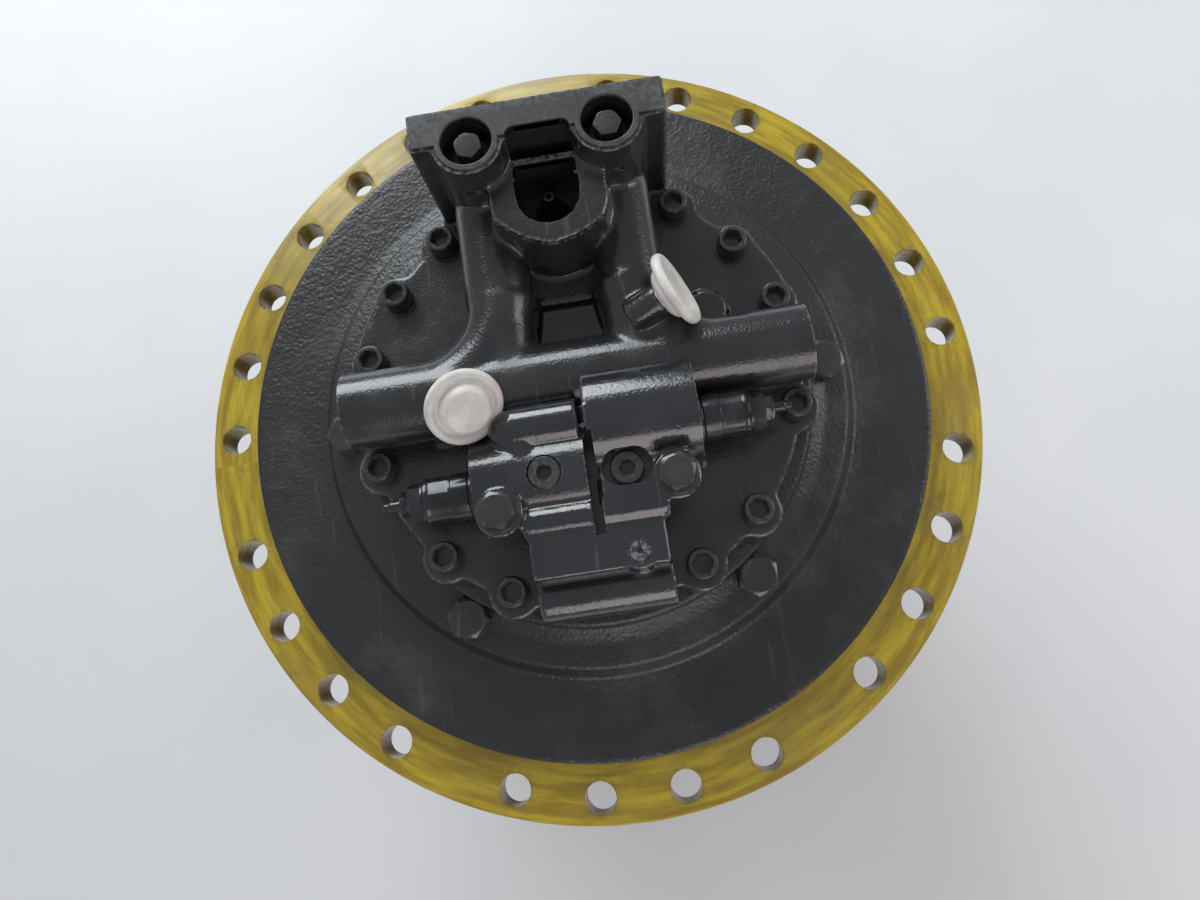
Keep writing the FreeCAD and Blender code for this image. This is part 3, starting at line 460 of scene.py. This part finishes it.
def plastic(name, colour, shadow):
    """Soft milky moulded plastic with faint clouds, scuffs and a waxy sheen."""
    material, tree, shader = new_finish(name)
    film = place_group(tree, dust, Cloud=45.0, Scratch=420.0)
    cloud = tree.span(tree.noise(60.0, 4), 0.35, 0.7)
    shade = tree.mix(cloud, (*shadow, 1), (*colour, 1))
    shade = tree.mix(tree.math("MULTIPLY", film["Dust"], 0.35), shade, (0.5, 0.46, 0.4, 1))
    height = tree.math("ADD", tree.noise(180.0, 3), tree.math("MULTIPLY", film["Marks"], 0.3))
    join(tree, shader, Base_Color=shade, Roughness=tree.span(film["Dust"], 0, 1, 0.4, 0.55),
         Normal=bump(tree, height, 0.4, 0.0004), Subsurface_Weight=0.15,
         Subsurface_Radius=(0.004, 0.003, 0.002))
    return material


ring_yellow = yellow_finish()
fastener_black = metal("black_oxide_steel", (0.05, 0.05, 0.054), (0.018, 0.018, 0.02),
                       (0.22, 0.38), metallic=0.55, pitch=500.0, coat=0.3)
# Here too the second colour of each paint is painted shade in the hollows.
bolt_black = paint("bolt_black_paint", (0.03, 0.03, 0.032), (0.014, 0.014, 0.015),
                   (0.06, 0.058, 0.054), (0.3, 0.3, 0.3), (0.22, 0.36), 120, 700, 0.0002,
                   coat=0.3, wear=0.12)
face_black = paint("machined_face_black_paint", (0.035, 0.036, 0.036), (0.02, 0.02, 0.021),
                   (0.07, 0.068, 0.06), (0.3, 0.3, 0.3), (0.3, 0.5), 160, 900, 0.00012,
                   wear=0.15)
cap_white = plastic("milky_cap_plastic", (0.78, 0.77, 0.73), (0.66, 0.62, 0.58))
hub_black = paint("hub_black_paint", (0.026, 0.026, 0.027), (0.013, 0.013, 0.014),
                  (0.07, 0.064, 0.055), (0.2, 0.19, 0.18), (0.34, 0.52), 60, 300, 0.0007,
                  wear=0.0)
seal_rubber = paint("seal_rubber", (0.025, 0.025, 0.025), (0.014, 0.014, 0.014),
                    (0.06, 0.058, 0.055), (0.08, 0.08, 0.08), (0.5, 0.65), 200, 900, 0.0001)

# The finish of each slot for the solids that are shown as they are
NODE_FINISH = {
    "casing_paint": hub_black,
    "cover_paint": cover_black,
    "valve_paint": valve_black,
    "black_fasteners": fastener_black,
    "cap_plastic": cap_white,
    "seal_rubber": seal_rubber,
}
INNER_METALS = {
    "spring_steel": ("spring_steel_oiled", (0.34, 0.34, 0.36), (0.16, 0.16, 0.17), (0.2, 0.35)),
    "gear_steel": ("ground_gear_steel", (0.52, 0.52, 0.54), (0.34, 0.34, 0.36), (0.18, 0.32)),
    "bearing_steel": ("ground_bearing_steel", (0.62, 0.62, 0.64), (0.45, 0.45, 0.47),
                      (0.12, 0.25)),
    "carrier_iron": ("machined_carrier_iron", (0.24, 0.24, 0.25), (0.12, 0.12, 0.125),
                     (0.3, 0.5)),
    "motor_steel": ("oiled_motor_steel", (0.46, 0.46, 0.48), (0.28, 0.28, 0.3), (0.18, 0.35)),
    "bronze": ("bearing_bronze", (0.62, 0.42, 0.2), (0.4, 0.25, 0.11), (0.2, 0.35)),
}
for inner_slot, inner_look in INNER_METALS.items():
    NODE_FINISH[inner_slot] = metal(*inner_look)

# ---------------------------------------------------------------- shared places
RING_RADIUS = 345
RING_DEPTH = 30
RING_HOLE_CIRCLE = 324
DISC_RADIUS = 295
SCREW_CIRCLE = 171
BOLT_CIRCLE = 204
BOLT_SEAT = 42.3
PLATE_TOP = 88
ARM_LINE = -4
ARM_HEIGHT = 125
ARM_REACH = 177
ARM_RADIUS = 29.5
RIB_OFFSET = 52
RIB_RADIUS = 26.5
ELBOW = 40
PORT_LINE = 163
PORT_SEAT = 175
DRAIN_PLACE = (0, 132, 118)
ORIFICE_PLACE = (28, -143)
VALVE_BOLT_SEAT = 160.1
CAP_PLACES = {  # where each transport cap sits, and the way it faces
    "left": ((-82.2, -22.6, 163), (0.35, -0.62, 0.7)),
    "right": ((72.8, 36, 160.8), (0.877, 0.287, 0.381)),
}

screw_angles = (55, 35, 15, -15, -45, -65)
screw_places = [polar(SCREW_CIRCLE, angle) for angle in screw_angles]
screw_places += [polar(SCREW_CIRCLE, 180 - angle) for angle in screw_angles]
screw_places += [polar(SCREW_CIRCLE, 90)]
bolt_places = [polar(BOLT_CIRCLE, angle) for angle in (0, 180, -55, -125)]
valve_bolt_places = [(-66, -103), (62, -95)]
port_places = [(-RIB_OFFSET, PORT_LINE), (RIB_OFFSET, PORT_LINE)]


def ring_hole_angles():
    """Angles of the mounting holes from +Y on one side: groups of two, four and seven."""
    pitch, gap = 12.46, 19.02
    angles = [180 - pitch / 2, 180 - 1.5 * pitch]
    for count in (4, 7):
        start = angles[-1] - gap
        angles += [start - number * pitch for number in range(count)]
    return angles


# ---------------------------------------------------------------- motor casing
def make_casing():
    """The casing: yellow mounting flange, black dished disc and the stepped cover seat."""
    profile = [
        (112, 62), (187, 62, 1.5), (189, 60), (190, 49, 3), (203, 43, 3), (222, 41, 3),
        (229, 24.6, 3), (240, 23.2, 2), (262, 23.4), (292, 24, 2), (DISC_RADIUS, 22.5, 1),
        (DISC_RADIUS, 0, 0.6), (RING_RADIUS, 0, 1.2), (RING_RADIUS, -RING_DEPTH, 1.2),
        (262, -RING_DEPTH, 4), (240, -44, 3), (240, -60), (216, -60),
        (216, -46), (186, -46), (186, -66), (176, -70), (176, -88), (165, -88), (165, -188, 1),
        (157, -188), (157, -206), (36, -206), (36, -134), (55, -134), (55, -106), (112, -106),
    ]
    made = stand("motor_casing_flange", turned(profile, sides=240))
    holes = []
    for side in (1, -1):
        for angle in ring_hole_angles():
            place = Matrix.Translation(polar(RING_HOLE_CIRCLE, 90 - side * angle))
            holes.append(turned([(0, 1), (14.4, 1), (13, -0.6), (13, -29.4), (14.4, -31),
                                 (0, -31)], place, 40))
    bores = bmesh.new()
    for hole in holes:
        add_shape(bores, hole)
    carve(made, [bores])
    made.data.materials.append(casing_black)
    made.data.materials.append(ring_yellow)
    for face in made.data.polygons:
        middle = face.center
        outside = math.hypot(middle.x, middle.y) > DISC_RADIUS + 0.2
        if outside and middle.z > -RING_DEPTH - 0.5:
            face.material_index = 1
    return finish(made, casing_black, "casing", ["motor_casing"])


# ---------------------------------------------------------------- motor cover
def drain_opening(low, high):
    """The D shaped well round the drain nipple."""
    return slab([(-24, 128), (-24, 154, 5), (25, 154, 5), (25, 128), (23.4, 117), (17.6, 107.6),
                 (9, 102.6), (0.5, 101.2), (-8, 102.6), (-16.6, 107.6), (-22.4, 117)], low, high)


def port_pocket(low, high):
    """The deep pocket between the two ports."""
    return slab([(-23.5, 157.5, 2), (24.5, 157.5, 2), (24.5, 169, 7), (-23.5, 169, 7)], low, high)


def port_notch(low, high):
    """The open front of that pocket, above the drain boss."""
    return slab([(-23.5, 140), (24.5, 140), (24.5, 163), (-23.5, 163)], low, high)


def boss_outline(grow):
    """Outline of the boss round the drain well, with a blunt point towards the valve."""
    points = [(-41, 158), (-41, 127, 3), (-40, 112, 4), (-21.6, 96.4, 4), (-1.5, 88.0, 6),
              (18, 92.6, 3), (37, 101.6, 4), (42.5, 115, 5), (42.5, 158)]
    centre = Vector((0.5, 125))
    made = []
    for point in points:
        away = Vector(point[:2]) - centre
        spot = centre + away * (1 + grow / away.length)
        made.append((spot.x, spot.y, *point[2:]))
    return made


def cover_bores():
    """Every machined hole of the cover, sorted so that none in one tool overlap."""
    ports = bmesh.new()
    for across, along in port_places:
        place = Matrix.Translation((across, along, 0))
        add_shape(ports, turned([(0, 174), (19, 174), (19, 204.2), (20, 206), (0, 206)], place))
    for side in (1, -1):
        add_rod(ports, 20, 30, (side * (ARM_REACH - 22), ARM_LINE, ARM_HEIGHT), OUTWARD[side])
    screws = bmesh.new()
    for spot in screw_places:
        add_rod(screws, 8.5, 60, (spot.x, spot.y, 50), sides=32)
    return [ports, screws, drain_opening(DRAIN_PLACE[2], 178), port_pocket(128, 212), port_notch(176, 212)]


def make_cover():
    """The motor cover casting: lobed plate, spool arms, port passages and port block."""
    form = bmesh.new()
    lift = 56
    foot = lift + 20
    add_rod(form, 177, PLATE_TOP - lift, (0, 0, lift), sides=160)
    for spot in screw_places:
        add_rod(form, 20.5, PLATE_TOP - lift, (spot.x, spot.y, lift))
    upright = [(0, lift), (189, lift), (189, PLATE_TOP), (0, PLATE_TOP)]
    add_shape(form, swept(upright, (0, 0, 0), 146, 21))
    add_shape(form, swept(upright, (0, 0, 0), 13, 22))
    reach = ARM_REACH + 6
    add_rod(form, ARM_RADIUS, 2 * reach, (-reach, ARM_LINE, ARM_HEIGHT), RIGHT)
    add_block(form, (-reach, ARM_LINE - 19, foot), (reach, ARM_LINE + 19, ARM_HEIGHT))
    bend = RIB_OFFSET + RIB_RADIUS + ELBOW
    for side in (1, -1):
        across = RIB_OFFSET * side
        add_rod(form, RIB_RADIUS, PORT_LINE - ARM_LINE, (across, ARM_LINE, ARM_HEIGHT), FORTH)
        add_block(form, (across - 23, ARM_LINE, foot), (across + 23, PORT_LINE, ARM_HEIGHT))
        centre = (bend * side, ARM_LINE + ARM_RADIUS + ELBOW, 0)
        start = 180 if side > 0 else 270
        middle = ELBOW + (RIB_RADIUS + ARM_RADIUS) / 2
        add_shape(form, swept(circle_section(middle, ARM_HEIGHT, 27.5), centre, start, 90))
        wall = [(ELBOW + 3, foot), (ELBOW + 56, foot), (ELBOW + 56, ARM_HEIGHT),
                (ELBOW + 3, ARM_HEIGHT)]
        add_shape(form, swept(wall, centre, start, 90))
        add_rod(form, RIB_RADIUS, 124, (across, PORT_LINE, 84))
    add_block(form, (-94.5, 160.5, 78), (96.5, 191.5, 208))
    add_block(form, (-70, 150, 84), (70, 170, 118))
    add_block(form, (-34, -12, 80), (34, 160, 103))
    add_shape(form, slab(boss_outline(3), 96, 178))
    add_shape(form, slab([(-38, 62), (38, 62), (38, 110), (-38, 110)], 84, 112))
    add_rod(form, 17, 30, (110, 45, 66))
    add_block(form, (-31.5, -8, 100), (31.5, 28, 117))
    neck = 28
    for spot, facing in CAP_PLACES.values():
        outward = Vector(facing).normalized()
        add_rod(form, 12.5, neck, Vector(spot) - outward * neck, outward)
    made = cast("motor_cover_casting", form, 2.1, 7)
    faces = bmesh.new()
    add_block(faces, (-260, -260, 40), (260, 260, 62))
    flats = bmesh.new()
    add_block(flats, (-120, 60, 203), (120, 220, 230))
    add_block(flats, (ARM_REACH, ARM_LINE - 34, 90.5), (220, ARM_LINE + 34, 170))
    add_block(flats, (-220, ARM_LINE - 34, 90.5), (-ARM_REACH, ARM_LINE + 34, 170))
    top = bmesh.new()
    add_block(top, (-60, 80, 172.5), (60, 160, 175.9))
    carve(made, [faces, flats, top] + cover_bores())
    return finish(made, cover_black, "casing", ["motor_cover"])


def make_port_face():
    """The machined port face, a crisp pad just inside the cast edge of the block."""
    pad = bmesh.new()
    add_block(pad, (-92.5, 163, 196), (94.5, 189.5, 205))
    made = stand("port_face_pad", pad)
    bosses = bmesh.new()
    for across, along in port_places:
        add_rod(bosses, 23.6, 9, (across, along, 196), sides=96)
    carve(made, [bosses], "UNION")
    carve(made, cover_bores()[:1] + [port_pocket(190, 212), port_notch(190, 213)])
    finish(made, face_black, "casing", edge=0.5)


def make_drain_rim():
    """The machined rim on top of the drain boss."""
    rim = stand("drain_boss_pad", slab(boss_outline(-0.5), 166, 175))
    carve(rim, [drain_opening(160, 180)])
    finish(rim, cover_black, "casing", edge=0.6)


def make_pad():
    """The raised rectangular pad between the ribs, with a thin rim round a rough field."""
    form = slab([(-32, -9, 4), (32, -9, 4), (32, 28.5, 5), (-32, 28.5, 5)], 108, 119.5)
    top = max(form.faces, key=lambda face: face.calc_center_median().z)
    bmesh.ops.inset_region(form, faces=[top], thickness=2.6, depth=0)
    bmesh.ops.translate(form, verts=top.verts[:], vec=(0, 0, -1.8))
    made = stand("cover_pad_rim", form)
    finish(made, rough_black, "casing", edge=0.7)


# ---------------------------------------------------------------- counterbalance valve
VALVE_END = 84
RELIEF_LINES = {1: -52, -1: -83}
RELIEF_HEIGHT = 132


def make_valve():
    """The counterbalance valve body: glossy rolled forms, split by a deep groove."""
    form = bmesh.new()
    floor = 82
    add_rod(form, 38, 86, (3, -45, 138), RIGHT, sides=96)
    add_block(form, (3, -83, floor), (89, -8, 138))
    add_rod(form, 17, 50, (-52, -43, 146), RIGHT)
    add_ball(form, 18, (-52, -44, 144))
    add_ball(form, 12, (-46, -58, 146))
    add_block(form, (-66, -60, floor), (2, -30, 142))
    add_rod(form, 37, 92, (-89, -77, 122), RIGHT, sides=96)
    add_block(form, (-89, -112, floor), (2, -42, 128))
    add_block(form, (8, -108, floor), (52, -80, 157))
    add_rod(form, 11, 54, (0, -111, 146), RIGHT)
    add_rod(form, 12, 56, (-52, -112, 143), RIGHT)
    add_block(form, (-49, -153, floor), (49, -104, 151))
    add_rod(form, 19, 101, (-50.5, -163.5, 105), RIGHT)
    add_block(form, (-50.5, -178, floor), (50.5, -150, 105))
    add_rod(form, 13, 70, (*ORIFICE_PLACE, floor))
    for across, along in valve_bolt_places:
        add_rod(form, 17.5, 78, (across, along, floor))
    made = cast("counterbalance_valve_casting", form, 1.5, 7)
    ends = bmesh.new()
    add_block(ends, (VALVE_END, -100, 92), (120, 0, 200))
    add_block(ends, (-120, -130, 92), (-VALVE_END, -30, 200))
    add_block(ends, (-200, -220, 40), (200, 60, PLATE_TOP))
    groove = slab([(-1, -128), (7, -128), (7, -58), (3, -54), (-1, -58)], 118, 190)
    seats = bmesh.new()
    add_rod(seats, 12.6, 30, (-31, -79, 147))
    add_rod(seats, 12.6, 30, (22, -84, 146))
    add_rod(seats, 8, 10, (*ORIFICE_PLACE, 147.5), sides=32)
    oval = bmesh.new()
    add_block(oval, (22, -96.6, 146), (34, -71.4, 176))
    far = bmesh.new()
    add_rod(far, 12.6, 30, (34, -84, 146))
    carve(made, [ends, groove, seats, oval, far])
    return finish(made, valve_black, "casing", ["counterbalance_valve_body"])


# ---------------------------------------------------------------- fasteners and fittings
def hexagon(flats, low, high, spin=0):
    """A hexagon bar about Z by its width across flats."""
    form = bmesh.new()
    add_rod(form, flats / math.sqrt(3), high - low, (0, 0, low), sides=6, spin=spin)
    return form


def hex_head(flats, height, rim, chamfer=2.4):
    """A hexagon head whose top corners are turned off round a flat disc."""
    head = stand("head", hexagon(flats, 0, height))
    crown = turned([(0, -1), (flats * 0.6, -1), (flats * 0.6, height - chamfer),
                    (rim, height, 0.5), (0, height)], sides=72)
    return carve(head, [crown], "INTERSECT")


def shape_of(made):
    """Takes the shape back out of an object and removes the object."""
    form = bmesh.new()
    form.from_mesh(made.data)
    mesh = made.data
    bpy.data.objects.remove(made)
    bpy.data.meshes.remove(mesh)
    return form


def repeat(name, shapes, places):
    """One object with every shape copied to every place."""
    form = bmesh.new()
    for shape in shapes:
        for place in places:
            copy = shape.copy()
            bmesh.ops.transform(copy, matrix=place, verts=copy.verts[:])
            add_shape(form, copy)
        shape.free()
    return stand(name, form)


def raised(spots, height):
    """Spots of the plan, all at one height."""
    return [(spot[0], spot[1], height) for spot in spots]


def twisted(spots, step, start=0):
    """Places at a list of spots, each turned a little further than the last."""
    return [Matrix.Translation(spot) @
            Matrix.Rotation(math.radians(step * number + start), 4, "Z")
            for number, spot in enumerate(spots)]


def make_screws():
    """Socket head cap screws of the cover, each turned its own way."""
    head = stand("head", turned([(0, 0), (11.4, 0, 0.4), (12, 1.2, 0.4), (12, 14.4, 1.4),
                                 (10.6, 16, 0.5), (0, 16)], sides=72))
    mouth = turned([(0, 15.2), (7.6, 15.2), (8.6, 17), (0, 17)], sides=48)
    carve(head, [hexagon(14, 7, 17), mouth])
    shank = turned([(0, -44), (8, -44, 1), (8, -0.5), (0, -0.5)], sides=32)
    places = twisted(raised(screw_places, PLATE_TOP + 0.05), 17)
    made = repeat("cover_socket_screws", [shape_of(head), shank], places)
    finish(made, bolt_black, "casing", ["cover_screws"])


def make_bolts():
    """The four low hexagon bolts of the casing and the two tall ones of the valve."""
    washer = turned([(0, 0), (16.4, 0, 0.3), (16.4, 1.2, 0.4), (0, 1.2)], sides=64)
    shank = turned([(0, -34), (10, -34, 1), (10, -0.5), (0, -0.5)], sides=32)
    places = twisted(raised(bolt_places, BOLT_SEAT), 23, 8)
    head = shape_of(hex_head(30, 12.6, 13.4, 2.6))
    made = repeat("casing_hexagon_bolts", [head, washer, shank], places)
    finish(made, bolt_black, "casing", ["casing_bolts"])
    head = shape_of(hex_head(24, 15, 10.4, 2.2))
    collar = turned([(0, 0), (14.6, 0, 0.5), (14.6, 2, 0.8), (0, 2)], sides=64)
    shank = turned([(0, -92), (8, -92, 1), (8, -0.5), (0, -0.5)], sides=32)
    places = twisted(raised(valve_bolt_places, VALVE_BOLT_SEAT), 31, 12)
    made = repeat("valve_hexagon_bolts", [head, collar, shank], places)
    finish(made, bolt_black, "casing", ["valve_bolts"])


def make_plugs():
    """Hexagon plugs in the main ports, flush socket plugs and the small orifice plug."""
    head = shape_of(hex_head(19, 24, 9.9, 1.2))
    flange = turned([(0, -26), (11.5, -26, 1), (11.5, 0), (16.6, 0, 0.4), (17.4, 3, 0.8),
                     (15, 5.2, 0.6), (0, 5.2)], sides=72)
    places = twisted(raised(port_places, PORT_SEAT), 20, 11)
    made = repeat("port_hexagon_plugs", [head, flange], places)
    finish(made, bolt_black, "casing", ["main_port_plugs"])
    plug = stand("plug", turned([(0, -10), (12.5, -10), (12.5, -1.4, 0.6), (11.4, 0, 0.3), (0, 0)],
                                sides=72))
    mouth = turned([(0, -0.9), (5.3, -0.9), (6.4, 1), (0, 1)], sides=48)
    carve(plug, [hexagon(10, -7, 1), mouth])
    spots = [(-31, -79, 157.5), (28, -84, 155.5), (110, 45, PLATE_TOP + 7)]
    made = repeat("flush_socket_plugs", [shape_of(plug)], twisted(spots, 24, 9))
    finish(made, bolt_black, "casing", ["socket_plugs"])
    place = Matrix.Translation((*ORIFICE_PLACE, 0))
    body = turned([(0, 146), (7.7, 146), (7.7, 151.7, 0.5), (0, 151.7)], place, sides=48)
    hole = turned([(0, 149), (1.8, 149), (2, 152), (0, 152)], place, sides=24)
    pin = carve(stand("valve_orifice_plug", body), [hole])
    finish(pin, valve_black, "casing", ["orifice_plug"])


def make_nipple():
    """The stepped drain nipple in its well."""
    profile = [(0, 0), (15, 0, 0.5), (15, 7, 0.6), (12, 8), (12, 10), (10.6, 11, 0.6), (9.6, 21, 1),
               (8, 23), (7.6, 29, 1.5), (4.6, 33), (4.4, 37), (5, 38.6, 0.5), (4.2, 41.6, 0.5),
               (2.4, 42, 0.3), (2.2, 30), (0, 30)]
    made = stand("drain_nipple", turned(profile, Matrix.Translation(DRAIN_PLACE), sides=64))
    finish(made, fastener_black, "casing", ["drain_fitting"])


def make_cartridges():
    """The two relief valve cartridges with their nuts and adjusting stems."""
    sleeve = [(0, -38), (9.9, -38), (9.9, 0), (18.3, 0, 0.5), (18.3, 3.6, 0.5), (16.9, 4.2),
              (17.5, 5, 0.3), (17.5, 17, 0.4), (16.7, 17.6), (16.7, 34, 0.6), (17.2, 35, 0.4),
              (17.2, 37.4, 0.6), (15, 38.6, 0.3), (15, 40), (0, 40)]
    for side, word in ((1, "right"), (-1, "left")):
        seat = (VALVE_END * side, RELIEF_LINES[side], RELIEF_HEIGHT)
        made = stand(f"relief_cartridge_{word}", turned(sleeve, sides=96))
        flat = bmesh.new()
        add_block(flat, (-6, 15.9, 19), (6, 22, 33.5))
        crown = turned([(0, 30), (15.6, 30), (15.6, 48, 0.8), (13.4, 50.2, 0.5), (0, 50.2)],
                       sides=72)
        nut = shape_of(carve(stand("nut", hexagon(26, 39, 50, 12)), [crown], "INTERSECT"))
        form = shape_of(carve(made, [flat]))
        add_shape(form, nut)
        bmesh.ops.transform(form, matrix=aim(seat, OUTWARD[side], 25), verts=form.verts[:])
        made = stand(f"relief_cartridge_{word}", form)
        finish(made, fastener_black, "casing", [f"relief_valve_{word}"])
    places = [aim((134 * side, line, RELIEF_HEIGHT), OUTWARD[side], 14)
              for side, line in RELIEF_LINES.items()]
    nut = stand("nut", hexagon(17, 0, 7))
    carve(nut, [turned([(0, -1), (9.9, -1), (9.9, 5.6, 0.5), (8.4, 7, 0.4), (0, 7)], sides=64)],
          "INTERSECT")
    made = repeat("adjuster_locknuts", [shape_of(nut)], places)
    finish(made, fastener_black, "casing", ["relief_locknuts"])
    stem = turned([(0, -24), (4, -24), (4, 7), (4.3, 8, 0.3), (4.3, 15, 0.4), (3.2, 16.5),
                   (3.2, 20.4, 0.8), (0, 21)], sides=40)
    made = repeat("adjuster_stems", [stem], places)
    finish(made, fastener_black, "casing", ["relief_adjusters"])


def make_caps():
    """Soft plastic port caps: a fat rolled rim round a closed cup, slightly dented."""
    cup_outward = [(0, -16), (10.5, -16), (11.5, 0), (27, -1, 1.6), (29.6, 2, 2), (28.6, 6.6, 2),
                   (24.5, 7.4, 1.2), (21.2, 4.8, 1.4), (19.6, 6.4),
                   (18.4, 12.6, 2.4), (15.5, 15.4, 1.5), (0, 15.4)]
    cup_inward = [(0, -16), (10.5, -16), (11.5, 0), (15.4, 0, 1.2), (19.4, 3, 1.5), (21, 8.4),
                  (26.8, 7.4, 1.5), (29.6, 9.6, 2), (29, 14.6, 2.2), (25, 15.4, 1.4), (19, 14, 1.6),
                  (16, 8.6, 1.5), (0, 8.6)]
    for word, profile, dent in (("left", cup_outward, 1.0), ("right", cup_inward, 0.6)):
        spot, outward = CAP_PLACES[word]
        cup = 12.5
        form = turned(profile, sides=96)
        for vert in form.verts:
            reach = math.hypot(vert.co.x, vert.co.y)
            if reach > cup and vert.co.z > -1.5:
                angle = math.atan2(vert.co.y, vert.co.x)
                wave = dent * (0.6 * math.sin(2 * angle + 0.6) + 0.35 * math.sin(3 * angle + 2))
                vert.co.z += wave * (reach - cup) / 17
        bmesh.ops.transform(form, matrix=aim(spot, outward), verts=form.verts[:])
        made = stand(f"white_cap_{word}", form)
        finish(made, cap_white, "casing", [f"port_cap_{word}"], corner=50)


# ---------------------------------------------------------------- everything that stays
def dress_nodes():
    """Gives every solid that is shown as it is the finish of its slot."""
    slots = {row["node"]: row["material_slot"] for row in frame["record"]["subparts"]}
    for name, node in frame["nodes"].items():
        node.data.materials.clear()
        node.data.materials.append(NODE_FINISH[slots[name]])


# ---------------------------------------------------------------- studio
CAMERA_PLACE = Vector((33.5524, -196.9119, 785.4564))
CAMERA_TURNS = (14.24641518, 3.70939262, -8.17274792)


def make_studio():
    """The pale floor, the air, three soft lamps and the camera."""
    floor_form = bmesh.new()
    bmesh.ops.create_circle(floor_form, cap_ends=True, segments=96, radius=9)
    bmesh.ops.translate(floor_form, verts=floor_form.verts[:], vec=(0, 0, -0.44))
    floor = stand("floor", floor_form)
    material, tree, shader = new_finish("pale_floor")
    tone = tree.mix(tree.span(tree.noise(3.0, 4), 0.3, 0.7), (0.74, 0.75, 0.76, 1),
                    (0.78, 0.785, 0.79, 1))
    join(tree, shader, Base_Color=tone, Roughness=0.7)
    floor.data.materials.append(material)
    world = bpy.data.worlds.new("studio")
    bpy.context.scene.world = world
    world.use_nodes = True
    air = world.node_tree.nodes["Background"]
    air.inputs["Color"].default_value = (0.86, 0.9, 0.95, 1)
    air.inputs["Strength"].default_value = 0.42
    for name, spot, target, size, power, colour in (
        ("key", (-0.7, 2.3, 1.35), (0, 0.05, 0), 1.7, 68, (0.92, 0.97, 1.0)),
        ("fill", (0.3, -2.2, 0.9), (0, 0, 0), 1.4, 17, (1.0, 0.88, 0.88)),
        ("side", (2.3, 0.3, 1.0), (0, 0, 0), 1.2, 14, (1.0, 0.98, 0.96)),
    ):
        lamp = bpy.data.lights.new(name, "AREA")
        lamp.size = size
        lamp.energy = power
        lamp.color = colour
        holder = bpy.data.objects.new(name, lamp)
        holder.location = spot
        holder.rotation_mode = "QUATERNION"
        holder.rotation_quaternion = (Vector(target) - Vector(spot)).to_track_quat("-Z", "Y")
        bpy.context.collection.objects.link(holder)
    lens = bpy.data.cameras.new("camera")
    lens.lens = 27
    lens.sensor_width = 36
    lens.shift_y = -0.0417
    lens.clip_start, lens.clip_end = 0.01, 60
    camera = bpy.data.objects.new("camera", lens)
    camera.location = CAMERA_PLACE * MILLIMETRE
    camera.rotation_euler = Euler([math.radians(turn) for turn in CAMERA_TURNS], "XYZ")
    bpy.context.collection.objects.link(camera)
    bpy.context.scene.camera = camera
    bpy.context.scene.view_settings.view_transform = "Standard"


make_studio()
dress_nodes()
make_casing()
make_cover()
make_port_face()
make_drain_rim()
make_pad()
make_valve()
make_screws()
make_bolts()
make_plugs()
make_nipple()
make_cartridges()
make_caps()
